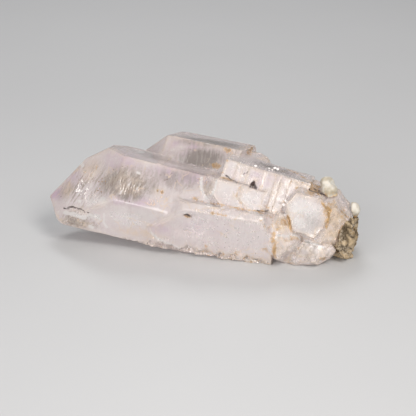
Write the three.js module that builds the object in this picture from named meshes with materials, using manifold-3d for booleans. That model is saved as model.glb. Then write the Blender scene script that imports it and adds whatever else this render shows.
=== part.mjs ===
// A pale amethyst cluster: quartz crystals grown together side by side on a crust of brown rock.
// Millimetres, +Z up. The points look along -X, the broken base is at +X, and Z = 0 is what it rests on.
import * as THREE from "three";
import { mergeVertices } from "three/addons/utils/BufferGeometryUtils.js";
import Module from "manifold-3d";

const wasm = await Module();
wasm.setup();

// Driving dimensions, in millimetres and degrees.
const END_FACE_SLOPE = 38.2; // angle between an end face of quartz and the crystal's long axis
const FACES_ROUND = 6; // quartz is six-sided
const SHARED_ROLL = 40.5; // how far the first face of each parallel crystal looks up from the front
const REACH = 60; // half the block that a crystal is cut from
const PIT_MOUTH = 0.2; // how far a pit's cutter stands out of the face that it goes into
const LUMP_TURN = 0.5; // how far a lump's flat breaks are shaken round it, in radians
const LUMP_DEPTH = 0.9; // how deep they go at most, as a share of the lump's half size
const SINK = 0.05; // how far a ledge's other sides stay under the faces of its crystal
const GAP = 0.3; // between the crystals and the pieces that sit against them

// The crystals that grew together. `at` is a point on the long axis, `tilt` lifts the tip, and `yaw` swings
// it to the back. `prism` is the distance from the axis to each side face, and `cap` is how far beyond `at`
// each end face would cut the axis. Both run round the crystal: upper front, top, upper back, lower back,
// bottom, lower front. `blunt` is where a broken-off point ends, and `foot` is how far the crystal runs the
// other way. `breaks` are flat breaks at a `place` round the crystal, counted in faces: each starts `from`
// along the axis, at its `reach` from it, and goes deeper and deeper towards the foot by its `lean`.
const CRYSTALS = {
  frontPoint: {
    at: [-10, 0, 7.4],
    tilt: 10,
    yaw: 0,
    prism: [6.7, 6.2, 6.7, 6.7, 6.7, 6.7],
    cap: [12.1, 15, 13.7, 19.5, 20.7, 20.2],
    breaks: [{ place: 4.5, from: -2.5, reach: 7.74, lean: 6 }],
    foot: 15,
  },
  backPoint: {
    at: [-2.8, 7.7, 9.1],
    tilt: 3.2,
    yaw: 12,
    prism: [5.4, 5.4, 5.4, 5.4, 5.4, 5.4],
    cap: [12, 12.2, 11.6, 14, 14, 14],
    foot: 7.6,
  },
  middleCrystal: {
    at: [8.5, 1.2, 7.5],
    tilt: 13,
    yaw: 0,
    prism: [5.6, 5.4, 5.6, 5.6, 5.6, 5.6],
    cap: [15.5, 15.5, 15.5, 15.5, 15.5, 15.5],
    blunt: 6.9,
    foot: 6.6,
  },
  frontLedge: {
    at: [3.5, -3.4, 7.6],
    tilt: 5,
    yaw: 0,
    prism: [4.6, 1, 5, 5, 7.6, 4.6],
    cap: [11.6, 13, 15, 15, 22, 16.6],
    breaks: [{ place: 0, from: -6.4, reach: 4.6, lean: 60 }],
    foot: 8.2,
  },
  rearCrystal: {
    at: [9, 6.2, 5.6],
    tilt: 12,
    yaw: 4,
    prism: [4.8, 4.8, 5, 5, 5.2, 5],
    cap: [14, 14, 14, 14, 14, 14],
    blunt: 8,
    foot: 7,
  },
  shieldCrystal: {
    at: [4.5, -3.2, 10.1],
    tilt: 10,
    yaw: 0,
    prism: [2.6, 2, 2, 2, 2, 4.2],
    cap: [5.8, 6.6, 6.4, 6.4, 6.4, 6],
    foot: 2.4,
  },
  whiteBlock: {
    at: [6.6, -2.9, 9.5],
    tilt: 16,
    yaw: -6,
    roll: 46,
    prism: [3, 1.8, 2, 2, 2, 4.4],
    cap: [5, 5, 5, 5, 5, 5],
    blunt: 2,
    foot: 2.4,
  },
  endCrystal: {
    at: [14.3, -1.2, 6.8],
    tilt: 22,
    yaw: -115,
    roll: 10,
    prism: [3.2, 3.7, 3.3, 2.7, 3.1, 3.2],
    cap: [9.1, 8.05, 9.1, 9.1, 9.1, 9.1],
    blunt: 4.75,
    foot: 6,
  },
};

// Lineages: copies of a crystal that grew a little askew in it, so that parts of their faces stand out.
const LINEAGES = [
  { of: "frontPoint", tilt: 0.5, yaw: 0.9, roll: 0.6, inset: 0.02, shorter: 0.5 },
  { of: "frontPoint", tilt: -0.6, yaw: -0.7, roll: -1, inset: 0.06, shorter: 0.3 },
  { of: "backPoint", tilt: 0.9, yaw: -1.2, roll: 1.4, inset: 0.02, shorter: 0.9 },
  { of: "backPoint", tilt: -1, yaw: 1.4, roll: -0.8, inset: 0.05, shorter: 0.6 },
  { of: "middleCrystal", tilt: 1.4, yaw: 1.6, roll: -1.2, inset: 0.04, shorter: 0.6 },
  { of: "frontLedge", tilt: 0.8, yaw: -0.9, roll: 0.8, inset: 0.02, shorter: 0.9 },
  { of: "rearCrystal", tilt: -1.6, yaw: 2, roll: 1.5, inset: 0.05, shorter: 1.2 },
];

// Growth ledges: a stretch of one side face, from one place along the axis to another, that stands `proud`.
const LEDGES = [
  { on: "middleCrystal", face: 0, from: 5, to: 4, proud: 0.14 },
  { on: "middleCrystal", face: 0, from: 3.2, to: 0.4, proud: 0.1 },
  { on: "middleCrystal", face: 0, from: -1.2, to: -2, proud: 0.18 },
  { on: "middleCrystal", face: 0, from: -2, to: -3.4, proud: 0.3 },
  { on: "frontPoint", face: 1, from: -1.4, to: -2.2, proud: 0.1 },
  { on: "backPoint", face: 2, from: 3, to: -2, proud: 0.2 },
  { on: "rearCrystal", face: 2, from: 5, to: -1.6, proud: 0.25 },
];

// Pits and cracks. On a side face `along` runs up the axis, and on an end face down from the peak. `across`
// runs up round the crystal.
const PITS = [
  { on: "middleCrystal", face: 0, along: 1.9, across: 0.2, long: 1, wide: 2.2, deep: 1, sides: 3 },
  { on: "frontLedge", face: 5, along: 4.9, across: 1.7, long: 2.2, wide: 0.8, deep: 0.6, sides: 4 },
  { on: "frontLedge", face: 0, along: -6.2, across: -0.8, long: 1.8, wide: 0.6, deep: 0.5, sides: 4 },
  { on: "frontPoint", face: 0, along: -2.7, across: -0.9, long: 0.5, wide: 0.5, deep: 0.3, sides: 5 },
  { on: "frontPoint", face: 0, along: -3.5, across: -0.8, long: 0.45, wide: 0.55, deep: 0.3, sides: 5 },
  { on: "frontPoint", end: true, face: 0, along: 3, across: -5.4, long: 4.2, wide: 0.7, deep: 0.5, sides: 4 },
];

// Fine grooves across the front point's upper front face.
const GROOVES = {
  on: "frontPoint",
  face: 0,
  count: 9,
  start: 0,
  pitch: 0.38,
  middle: -1.4,
  scatter: 0.8,
  length: [3, 6],
  width: 0.3,
  deep: 0.14,
  seed: 9,
};

// Chips broken out of the lower edges at the front.
const CHIPS = [
  { on: "frontLedge", face: 5, count: 17, start: 11.2, end: -7.8, drop: -5.7, size: 1.3, seed: 21 },
  { on: "frontLedge", face: 5, count: 5, start: 9.6, end: 4, drop: -6, size: 2, seed: 4 },
  { on: "frontPoint", face: 5, count: 7, start: 1.5, end: -5, drop: -3.9, size: 0.8, seed: 6 },
];

// Broken lumps that make up the base. `radii` are half sizes, `cuts` how many flat breaks each shows.
const LUMPS = {
  base: { at: [16.5, 1.3, 5.2], radii: [5.9, 6.3, 5.4], cuts: 30, seed: 3 },
  clearLobe: { at: [15.6, -3.3, 2], radii: [4.8, 2.9, 2.6], cuts: 46, seed: 8 },
  seamLobe: { at: [12.4, -4, 4.4], radii: [3.2, 3.8, 4.2], cuts: 30, seed: 5 },
  brokenHeel: { at: [4.9, 6.6, 10.7], radii: [3.5, 3.4, 2.7], cuts: 22, seed: 15 },
  underside: { at: [7.4, 2.6, 2.6], radii: [7.4, 5.6, 3.6], cuts: 32, seed: 17 },
};

// The brown crust on the broken end: lumps of rock scattered over an oval patch, `spread` from its middle.
const CRUST = {
  at: [21.4, 0.5, 3.3],
  spread: [0.2, 4, 2.6],
  size: [1.3, 2],
  squash: [0.8, 1.2],
  count: 15,
  cuts: 26,
  seed: 44,
};

// Small white grains beside the crust: a leaning tooth, made of its tip and its foot, and a bead.
const NUB_TIP = { at: [18.4, 0.3, 11.4], radii: [1.05, 1.1, 1.25], cuts: 40, seed: 12 };
const NUB_FOOT = { at: [19, -0.2, 10.4], radii: [1.15, 1.2, 1.6], cuts: 36, seed: 14 };
const BEAD = { at: [22.6, 1.6, 7], radii: [0.9, 0.9, 1.3], cuts: 40, seed: 13 };

const radians = THREE.MathUtils.degToRad;
const GOLDEN_TURN = Math.PI * (3 - Math.sqrt(5));
const DOWN = new THREE.Vector3(0, 0, -1);
const FLOOR = new THREE.Vector3();

// Repeatable picks between a low and a high number.
function dice(seed) {
  const MODULUS = 2147483647;
  const MULTIPLIER = 48271;
  let state = (seed * MULTIPLIER) % MODULUS;
  return (low, high) => {
    state = (state * MULTIPLIER) % MODULUS;
    return THREE.MathUtils.lerp(low, high, state / MODULUS);
  };
}

// A closed geometry as a solid that can be joined and cut.
function solidOf(geometry) {
  const bare = geometry.clone();
  bare.deleteAttribute("normal");
  bare.deleteAttribute("uv");
  const merged = mergeVertices(bare);
  const vertProperties = merged.attributes.position.array;
  const triVerts = new Uint32Array(merged.index.array);
  return new wasm.Manifold(new wasm.Mesh({ numProp: 3, vertProperties, triVerts }));
}

function block(at) {
  return solidOf(new THREE.BoxGeometry(2 * REACH, 2 * REACH, 2 * REACH).translate(...at));
}

// What is left of a solid on the inner side of a plane.
function cutBy(solid, normal, through) {
  return solid.trimByPlane(normal.clone().negate().toArray(), -normal.dot(through));
}

// The long axis, towards the tip, and, at a place round the crystal, the way out of it and the way on round
// it. Places are counted in faces from the upper front one, so that an edge is half a face on.
function bearings({ tilt, yaw, roll = SHARED_ROLL }, place = 0) {
  const level = new THREE.Vector3(-Math.cos(radians(yaw)), Math.sin(radians(yaw)), 0);
  const axis = level.multiplyScalar(Math.cos(radians(tilt))).setZ(Math.sin(radians(tilt)));
  const front = new THREE.Vector3(-Math.sin(radians(yaw)), -Math.cos(radians(yaw)), 0);
  const up = new THREE.Vector3().crossVectors(axis, front);
  const round = radians(roll + (360 / FACES_ROUND) * place);
  const out = front.clone().multiplyScalar(Math.cos(round)).addScaledVector(up, Math.sin(round));
  const onward = up.clone().multiplyScalar(Math.cos(round)).addScaledVector(front, -Math.sin(round));
  return { axis, out, onward };
}

// A direction leant over by an angle towards another one at right angles to it.
function leant(direction, towards, angle) {
  const cosine = Math.cos(radians(angle));
  return direction.clone().multiplyScalar(cosine).addScaledVector(towards, Math.sin(radians(angle)));
}

// A six-sided crystal cut from a block by its own faces, each moved out by `clearance`.
function crystal(spec, clearance = 0) {
  const at = new THREE.Vector3(...spec.at);
  const { axis } = bearings(spec);
  let solid = block(spec.at);
  for (let face = 0; face < FACES_ROUND; face++) {
    const { out } = bearings(spec, face);
    solid = cutBy(solid, out, at.clone().addScaledVector(out, spec.prism[face] + clearance));
    const end = leant(out, axis, END_FACE_SLOPE);
    const peak = at.clone().addScaledVector(axis, spec.cap[face]).addScaledVector(end, clearance);
    solid = cutBy(solid, end, peak);
  }
  for (const { place, from, reach, lean } of spec.breaks ?? []) {
    const { out } = bearings(spec, place);
    const start = at.clone().addScaledVector(axis, from).addScaledVector(out, reach + clearance);
    solid = cutBy(solid, leant(out, axis, -lean), start);
  }
  if (spec.blunt) {
    solid = cutBy(solid, axis, at.clone().addScaledVector(axis, spec.blunt + clearance));
  }
  const heel = axis.clone().negate();
  return cutBy(solid, heel, at.clone().addScaledVector(heel, spec.foot + clearance));
}

// A broken lump: a block cut by flat breaks that touch an oval, spread evenly round it and then shaken.
function lump({ at, radii, cuts, seed }, clearance = 0) {
  const pick = dice(seed);
  const middle = new THREE.Vector3(...at);
  const oval = new THREE.Vector3(...radii).addScalar(clearance);
  let solid = block(at);
  for (let cut = 0; cut < cuts; cut++) {
    const height = 1 - (2 * cut + 1) / cuts;
    const turn = GOLDEN_TURN * cut + pick(0, LUMP_TURN);
    const width = Math.sqrt(1 - height * height);
    const bearing = new THREE.Vector3(Math.cos(turn) * width, Math.sin(turn) * width, height);
    const touch = oval.clone().multiply(bearing).multiplyScalar(pick(LUMP_DEPTH, 1)).add(middle);
    solid = cutBy(solid, bearing.divide(oval).normalize(), touch);
  }
  return solid;
}

// The lumps of the crust, thrown evenly over their patch from the middle out.
function crustLumps({ at, spread, size, squash, count, cuts, seed }) {
  const pick = dice(seed);
  const [x, y, z] = at;
  const [deep, wide, high] = spread;
  return Array.from({ length: count }, (_, i) => {
    const out = Math.sqrt((i + 0.5) / count);
    const turn = GOLDEN_TURN * i;
    const place = [x + pick(-deep, deep), y + wide * out * Math.cos(turn), z + high * out * Math.sin(turn)];
    const radius = pick(...size);
    return { at: place, radii: [radius, radius * pick(...squash), radius], cuts, seed: seed + i + 1 };
  });
}

// Where a place on a face is, which way it looks, and the directions on round the crystal and up the face.
function spot({ on, face, end, along, across }) {
  const spec = CRYSTALS[on];
  const { axis, out, onward } = bearings(spec, face);
  const slope = end ? END_FACE_SLOPE : 0;
  const normal = leant(out, axis, slope);
  const upwards = leant(axis, out, -slope);
  const point = new THREE.Vector3(...spec.at).addScaledVector(onward, across);
  if (end) {
    point.addScaledVector(axis, spec.cap[face]).addScaledVector(upwards, -along);
  } else {
    point.addScaledVector(axis, along).addScaledVector(out, spec.prism[face]);
  }
  return { point, normal, onward, upwards };
}

// A pit: a narrow cone with flat sides that points into the crystal.
function pit(place) {
  const { point, normal, onward, upwards } = spot(place);
  const inward = normal.clone().multiplyScalar(-place.deep - PIT_MOUTH);
  const middle = point.clone().addScaledVector(normal, PIT_MOUTH).addScaledVector(inward, 0.5);
  const frame = new THREE.Matrix4().makeBasis(
    onward.clone().multiplyScalar(place.wide / 2),
    inward,
    upwards.clone().multiplyScalar(place.long / 2),
  );
  const cone = new THREE.ConeGeometry(1, 1, place.sides).applyMatrix4(frame);
  return solidOf(cone.translate(...middle));
}

// A row of fine grooves, one behind the other along the axis.
function grooves({ count, start, pitch, middle, scatter, length, width, seed, ...rest }) {
  const pick = dice(seed);
  return Array.from({ length: count }, (_, i) => pit({
    ...rest,
    along: start + pitch * i,
    across: middle + pick(-scatter, scatter),
    long: width,
    wide: pick(...length),
    sides: 4,
  }));
}

// A ragged row of chips along an edge.
function chips({ count, start, end, drop, size, seed, ...rest }) {
  const pick = dice(seed);
  const pitch = (end - start) / count;
  return Array.from({ length: count }, (_, i) => pit({
    ...rest,
    along: start + pitch * (i + pick(0, 0.6)),
    across: drop + size * pick(-0.4, 0.4),
    long: size * pick(1, 2),
    wide: size * pick(1, 2),
    deep: size * pick(0.4, 0.8),
    sides: Math.floor(pick(3, 6)),
  }));
}

function lineage({ of, tilt, yaw, roll, inset, shorter }, clearance = 0) {
  const spec = CRYSTALS[of];
  const askew = {
    ...spec,
    tilt: spec.tilt + tilt,
    yaw: spec.yaw + yaw,
    roll: (spec.roll ?? SHARED_ROLL) + roll,
    prism: spec.prism.map((reach) => reach - inset),
    cap: spec.cap.map((reach) => reach - shorter),
    foot: spec.foot - shorter,
  };
  return crystal(askew, clearance);
}

function ledge({ on, face, from, to, proud }, clearance = 0) {
  const spec = CRYSTALS[on];
  const prism = spec.prism.map((reach, side) => (side === face ? reach + proud : reach - SINK));
  return crystal({ ...spec, prism, blunt: from, foot: -to }, clearance);
}

// A solid as a named mesh with its own finish.
function piece(name, solid, finish) {
  const mesh = solid.getMesh();
  const geometry = new THREE.BufferGeometry();
  geometry.setAttribute("position", new THREE.BufferAttribute(mesh.vertProperties, 3));
  geometry.setIndex(new THREE.BufferAttribute(mesh.triVerts, 1));
  geometry.computeVertexNormals();
  const made = new THREE.Mesh(geometry, new THREE.MeshStandardMaterial(finish));
  made.name = name;
  return made;
}

const join = (solids) => solids.reduce((all, next) => all.add(next));
const carve = (solid, tools) => tools.reduce((left, tool) => left.subtract(tool), solid);

// All the quartz in one, with every face moved out by `clearance`.
function quartz(clearance = 0) {
  return join([
    ...Object.values(CRYSTALS).map((spec) => crystal(spec, clearance)),
    ...LINEAGES.map((spec) => lineage(spec, clearance)),
    ...LEDGES.map((spec) => ledge(spec, clearance)),
    ...Object.values(LUMPS).map((spec) => lump(spec, clearance)),
  ]);
}

const pits = PITS.map((place) => pit(place));
const ragged = CHIPS.flatMap((row) => chips(row));
const hollows = [...pits, ...grooves(GROOVES), ...ragged];
const crystals = cutBy(carve(quartz(), hollows), DOWN, FLOOR);

// What sits against the crystals keeps its gap to them and to its neighbours.
const room = quartz(GAP);
const tooth = (clearance) => lump(NUB_TIP, clearance).add(lump(NUB_FOOT, clearance));
const nub = tooth().subtract(room);
const bead = lump(BEAD).subtract(room);
const rocks = join(crustLumps(CRUST).map((spec) => lump(spec)));
const crust = carve(cutBy(rocks, DOWN, FLOOR), [room, tooth(GAP), lump(BEAD, GAP)]);

const cluster = new THREE.Group();
cluster.add(piece("crystals", crystals, { color: 0xcfc0cd, roughness: 0.2, metalness: 0 }));
cluster.add(piece("matrix", crust, { color: 0x8a7358, roughness: 0.9, metalness: 0 }));
cluster.add(piece("white_nub", nub, { color: 0xe8e2da, roughness: 0.5, metalness: 0 }));
cluster.add(piece("white_bead", bead, { color: 0xe8e2da, roughness: 0.5, metalness: 0 }));

// The origin is under the middle of the cluster, on the surface that it rests on.
const box = new THREE.Box3().setFromObject(cluster);
cluster.position.copy(box.getCenter(new THREE.Vector3()).setZ(box.min.z).negate());

export default cluster;
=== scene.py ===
"""An amethyst cluster: parallel quartz points grown on a broken base with a crust of tan rock.

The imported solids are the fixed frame. Each operator below dresses one of them, or adds what lies
in or on it: the quartz skin, the veils, clouds and specks in the crystals, the iron crumbs in the
pits and seams, the rock crust with its loose grains, and the two white mineral grains.
"""

import math

import bmesh
import bpy
import numpy as np
from bpy.props import FloatProperty, FloatVectorProperty, IntProperty, PointerProperty
from mathutils import Matrix, Vector, noise


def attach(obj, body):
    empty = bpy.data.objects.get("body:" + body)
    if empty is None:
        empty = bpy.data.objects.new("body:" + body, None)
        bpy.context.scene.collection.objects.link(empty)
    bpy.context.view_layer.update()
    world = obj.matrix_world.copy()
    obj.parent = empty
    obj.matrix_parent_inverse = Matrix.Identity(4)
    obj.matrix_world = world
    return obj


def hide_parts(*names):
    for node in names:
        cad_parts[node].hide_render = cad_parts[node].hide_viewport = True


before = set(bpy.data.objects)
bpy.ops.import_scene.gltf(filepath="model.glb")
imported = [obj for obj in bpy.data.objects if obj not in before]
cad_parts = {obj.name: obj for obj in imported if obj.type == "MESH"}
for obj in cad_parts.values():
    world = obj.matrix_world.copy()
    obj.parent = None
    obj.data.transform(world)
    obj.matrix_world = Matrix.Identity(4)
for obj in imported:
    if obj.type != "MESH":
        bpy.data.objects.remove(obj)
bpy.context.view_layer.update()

bl_info = {
    "name": "Amethyst Cluster",
    "version": (1, 0, 0),
    "blender": (4, 5, 0),
    "location": "3D View > Sidebar > Amethyst",
    "description": "Dresses the solids of an amethyst cluster with quartz, rock and iron stain",
    "category": "Object",
}

MM = 0.001
BODY = "root"

# Mesh work: what counts as one point, as flat and as an edge, from where each skin is shaded crisp,
# and the noises that shape it
WELD = 1e-6
FLAT_ANGLE = math.radians(1.0)
CREASE_ANGLE = math.radians(20.0)
QUARTZ_CRISP = math.radians(26.0)
CRUST_CRISP = math.radians(40.0)
WHITE_CRISP = math.radians(50.0)
SPLIT_ROUNDS = 6
BRUISE_MEAN, BRUISE_SWING, BRUISE_SIZE = 0.75, 0.5, 1.6 * MM
FRACTAL_DROP, FRACTAL_STEP = 0.9, 2.1
SCALLOP_MEAN = 0.25
ZONE_EDGE = 1.25

# Long axis of the points, from the base to the tips
POINT_TILT = math.radians(10.0)
POINT_AXIS = Vector((-math.cos(POINT_TILT), 0.0, math.sin(POINT_TILT)))

# Relief of the quartz: rubbed edges, waves and ridges of the faces, and the break on the base, which
# begins along x, fades near the top and on the broad white facet, and comes back at the foot
WORN_RINGS, SEAM_RINGS, EDGE_PASSES = 2, 3, 2
GROWN_FROM, GROWN_WEAR, GROWN_PASSES = 0.3, 0.6, 14
WAVE_SIZE = 3.6 * MM
RIDGE_SIZE = 0.9 * MM
RIDGE_FADE = 3.0
BREAK_START = (11.5 * MM, 14.0 * MM)
BREAK_TOP, TOP_FADE = (9.5 * MM, 11.0 * MM), 0.6
BREAK_FOOT, FOOT_SHARE = (2.2 * MM, 0.6 * MM), 0.6
WHITE_FACET = Vector((0.39, -0.84, 0.37))
FACET_MATCH, FACET_FADE = (0.93, 0.985), 0.9
CHIPS = ((1.5, 2.6 * MM), (0.7, 1.1 * MM))
CRUMBLE_HEIGHT, CRUMBLE_SIZE = 0.2, 0.8 * MM
BREAK_SINK = 0.15

# Masks of the quartz by place, in millimetres: it clears to the points and to the back, is milkier on
# faces that look down, soiled at the foot and in seams except on a clean front (x from, x to, y from, z
# from), and cream at worn edges, where it is also white: rubbed frost and a painted highlight along
# them
CLEAR_POINTS = (3.0, -3.0)
CLEAR_BACK, CLEAR_BACK_END = (-0.5, 1.0), (9.0, 5.0)
MILK_FULL, MILK_CLEARED = 0.8, 0.34
MILK_BELOW, BELOW_SLOPE = 0.25, 2.5
FOOT_SOIL, FOOT_REACH = 0.42, (2.6, 0.0)
SEAM_SOIL, SEAM_REACH = 0.55, (-2.0, 2.0)
CLEAN_FRONT, CLEAN_SHARE = (5.2, 14.2, -7.4, 8.8), 0.25
EDGE_CREAM, EDGE_BASE_CREAM, EDGE_REACH, EDGE_WHITE_AND_HIGHLIGHT = 0.4, 0.2, (2.0, 10.0), 0.4

# Relief of the crust, whose one slanting groove is laid by a shift of its noise, and of the white
# grains
CRUST_WEAR, CRUST_PASSES = 0.5, 2
CRAG_SIZE, CRAG_OCTAVES = 2.0 * MM, 5
HOLLOW_HEIGHT, HOLLOW_SIZE = 0.9, 0.9 * MM
GROOVE_SIZE, GROOVE_WIDTH = 2.6 * MM, 0.1
GROOVE_SHIFT = Vector((43.8, 21.2, 44.6))
# The groove is painted darker than it is cut, as painted shade, and painted shade spreads from inward
# creases over so many rings of edges
GROOVE_SHADE, GROOVE_CUT, CRUST_SINK = 1.4, 0.6, 0.2
HOLLOW_SHADE_RINGS = 2
WHITE_STEP = 0.28 * MM
WHITE_WEAR, WHITE_PASSES = 0.5, 4
WHITE_HEIGHT, WHITE_RISE = 0.16 * MM, 0.1
LUMP_SIZE, LUMP_OCTAVES = 1.1 * MM, 4
DENT_HEIGHT, DENT_SIZE = 2.2, 1.2 * MM
FOOT_STAIN, FOOT_SLOPE = 0.75, 1.3

# Scattered grains and the sheets that carry some of them
GRAIN_DENSITY = 4.0e7
GRAIN_CUTS = 2
GRAIN_SCALE = (0.45, 1.25)
GRAIN_TURN = (0.5, 0.5, 3.1)
GRAIN_FRAY, GRAIN_FRAY_DETAIL = 5500.0, 2.0
FLAKE_FLATNESS, PUFF_FLATNESS, SPECK_FLATNESS = 0.25, 0.4, 0.5
CRUMB_FLATNESS, CRUMB_SINK = 0.6, 0.3
GRAIN_FLATNESS, GRAIN_SINK = 0.7, 0.45
SHEET_CELLS = 14
RIPPLE_HEIGHT, RIPPLE_SIZE = 0.35 * MM, 1.5 * MM
PATCH_EDGE, PATCH_SIZE = (-0.25, 0.35), 1.3 * MM
CRUMB_PATCH_EDGE, CRUMB_PATCH_SIZE = (0.05, 0.5), 0.8 * MM
CRUMB_FROM, CRUMB_GAIN = 0.42, 1.4
BED_FADE = 1.5

# Middle of a noise's colour
MIDDLE = (0.5, 0.5, 0.5)

# Noise of the finishes: features to the millimetre, detail and roughness
NOISES = {
    "growth lines": (2.4, 4.0, 0.7),
    "drift": (0.35, 3.0, 0.55),
    "wisps": (0.9, 6.0, 0.66),
    "streaks": (1.0, 5.0, 0.62),
    "mottle": (0.8, 7.0, 0.7),
    "flecks": (2.4, 4.0, 0.6),
    "frost_and_sparkle": (4.6, 2.0, 0.55),
    "sway": (0.5, 4.0, 0.5),
    "flaws": (1.0, 5.0, 0.7),
    "pepper": (3.2, 3.0, 0.6),
    "fray": (1.6, 4.0, 0.5),
    "stain": (1.0, 7.0, 0.72),
    "grain": (1.0, 5.0, 0.6),
    "rock patches": (0.55, 5.0, 0.6),
    "white drift": (0.8, 4.0, 0.55),
    "floor drift": (0.02, 3.0, 0.55),
}

# Soft steps: where a value begins and ends to count, then the strength at both, if not 0 and 1
STEPS = {
    "violet": (0.3, 0.62),
    "smoke": (0.36, 0.6, 0.55, 1.0),
    "white": (0.32, 0.52, 0.3, 1.0),
    "cream": (0.34, 0.58, 0.3, 1.0),
    "mottle": (0.46, 0.62),
    "flecks": (0.55, 0.66, 0.0, 0.6),
    "frost_and_sparkle": (0.58, 0.66, 0.0, 0.5),
    "crack line": (0.03, 0.006),
    "crack part": (0.46, 0.6, 0.0, 0.7),
    "dark flaw": (0.51, 0.38, 0.0, 0.7),
    "white flaw": (0.55, 0.68, 0.0, 0.85),
    "pepper": (0.63, 0.68),
    "pepper part": (0.08, 0.5, 0.12, 0.7),
    "gold vein": (0.38, 0.55, 0.2, 0.9),
    "dark crack": (0.36, 0.5, 0.6, 0.95),
    "mark side": (1.3, 0.6),
    "stain mask": (0.0, 0.6),
    "stain start": (0.0, 0.2),
    "stain brown": (0.35, 0.9),
    "grain fleck": (0.42, 0.62),
    "sugar": (0.62, 0.4),
    "white hollow": (0.42, 0.66),
}

# How the finishes use them: milk pushed by wisps and growth lines, streaks combed across the points,
# the swayed cells of healed cracks, and the raggedness of iron stain
MILK_WISPS, MILK_START, MILK_LINES = 1.1, -0.75, 0.4
COMB_SCALE = (2.2, 0.45, 0.45)
CELL_SWAY, CELL_SCALE = 3.0, 0.3
STAIN_GAIN, STAIN_START = 3.0, -1.9

# The stage, and each light's name, place from the target and width in millimetres, power in watts
# and colour
FLOOR_HALF, FLOOR_CELLS, FLOOR_DRIFT = 1.5, 8, 1.05
SKY_COLOUR, SKY_STRENGTH = (0.98, 0.985, 1.0), 0.36
SENSOR_WIDTH = 36.0
LIGHTS = (
    ("key_light", (150.0, -150.0, 210.0), 130.0, 0.52, (1.0, 0.97, 0.93)),
    ("fill_light", (-80.0, -260.0, 60.0), 220.0, 0.66, (1.0, 0.99, 0.98)),
    ("rim_light", (-60.0, 190.0, 230.0), 120.0, 0.22, (1.0, 1.0, 1.0)),
)

# Painted zones of the quartz: centre and reach along x, y, z in millimetres, then strength
MILK_ZONES = (
    ((4.0, 9.4, 5.0), (4.6, 3.0, 3.0), 0.9),
    ((-5.0, 9.4, 5.0), (3.4, 2.4, 2.0), 0.8),
    ((4.0, -11.0, 5.0), (9.5, 2.4, 4.6), 1.0),
    ((-10.0, -9.8, 5.6), (6.0, 1.8, 3.0), 0.95),
    ((-15.8, -8.4, 8.2), (3.8, 2.0, 1.5), 1.0),
    ((-17.8, -9.0, 5.8), (1.8, 1.2, 0.8), 1.0),
    ((-15.0, -9.2, 5.8), (1.3, 1.2, 0.7), 0.9),
    ((-16.7, -4.6, 10.4), (1.2, 1.6, 3.2), 0.8),
    ((6.8, -4.5, 13.3), (1.5, 1.6, 1.8), 0.9),
    ((16.5, -7.9, 9.6), (2.9, 2.2, 2.4), 1.0),
    ((8.1, -8.4, 10.4), (2.0, 1.6, 1.7), 1.0),
    ((5.1, -7.9, 12.1), (2.1, 1.8, 1.6), 0.8),
    ((-4.8, -9.3, 2.9), (3.0, 1.2, 1.0), 0.9),
    ((19.1, -8.3, 2.6), (1.1, 1.2, 0.8), 1.0),
    ((3.0, -10.0, 9.5), (1.3, 1.2, 0.7), 0.9),
)
VIOLET_ZONES = (
    ((-9.0, 8.0, 8.0), (4.4, 3.2, 3.0), 0.7),
    ((-18.0, 3.6, 7.4), (4.0, 3.0, 2.6), 0.6),
    ((3.0, 10.0, 8.4), (3.2, 2.2, 2.4), 0.5),
    ((-24.2, -3.4, 7.2), (3.0, 3.0, 2.6), 0.9),
    ((-21.8, -2.4, 9.6), (3.4, 3.0, 2.4), 0.55),
    ((-12.2, -5.6, 13.9), (4.0, 3.0, 1.6), 0.6),
    ((-1.9, -6.3, 12.9), (6.0, 2.0, 1.8), 0.9),
    ((-9.2, -10.4, 9.2), (3.4, 1.8, 1.0), 0.9),
    ((-4.9, -10.2, 5.0), (2.2, 1.6, 1.8), 0.6),
    ((-3.6, 2.2, 14.1), (2.8, 2.2, 1.6), 1.0),
    ((9.4, -5.0, 12.6), (4.6, 2.2, 2.4), 0.4),
    ((11.8, -0.5, 12.5), (5.0, 2.4, 1.2), 0.4),
    ((2.1, -11.0, 6.0), (4.0, 1.6, 2.0), 0.3),
)
# Grey-brown smoke of the windows in the clear points, partly painted shade: the dark that shows through
# the clear quartz is painted into its colour
SMOKE_AND_SHADE_ZONES = (
    ((-3.0, -6.4, 12.0), (6.0, 2.6, 2.0), 0.75),
    ((-12.4, -7.6, 10.6), (4.2, 3.4, 2.8), 0.8),
    ((-7.4, -8.6, 11.4), (3.0, 2.0, 1.8), 0.7),
    ((-9.6, -9.8, 9.9), (2.8, 1.5, 1.1), 1.1),
    ((-1.0, 10.0, 7.5), (3.0, 2.2, 1.8), 0.6),
    ((9.0, 8.0, 9.0), (2.6, 2.2, 1.6), 0.5),
    ((-14.0, 5.0, 9.0), (3.6, 3.0, 2.2), 0.6),
    ((-11.2, -8.2, 11.2), (5.6, 3.4, 2.9), 1.15),
    ((-21.6, -4.2, 7.8), (2.4, 2.0, 2.2), 0.6),
    ((-18.5, -8.4, 4.2), (3.2, 1.8, 1.6), 0.9),
    # These four rows are painted shade on the window and the top faces of the back points, for the dark
    # that shows through them
    ((-0.4, 0.6, 12.8), (5.0, 2.4, 2.1), 1.4),
    ((1.0, 4.0, 14.7), (7.0, 2.6, 1.1), 1.5),
    ((11.2, -0.5, 12.6), (5.4, 2.4, 1.2), 1.1),
    ((-5.2, -1.2, 13.2), (7.0, 3.0, 1.3), 0.8),
    ((18.6, -8.2, 6.6), (1.7, 1.2, 1.9), 0.15),
    ((17.4, -8.6, 5.4), (1.5, 1.0, 0.8), 0.15),
    ((18.2, -7.9, 7.0), (1.9, 1.6, 1.7), 0.4),
    ((17.5, -8.5, 2.6), (2.0, 1.6, 1.2), 0.4),
    ((2.3, -7.6, 11.4), (1.1, 1.2, 1.5), 0.6),
)
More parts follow.
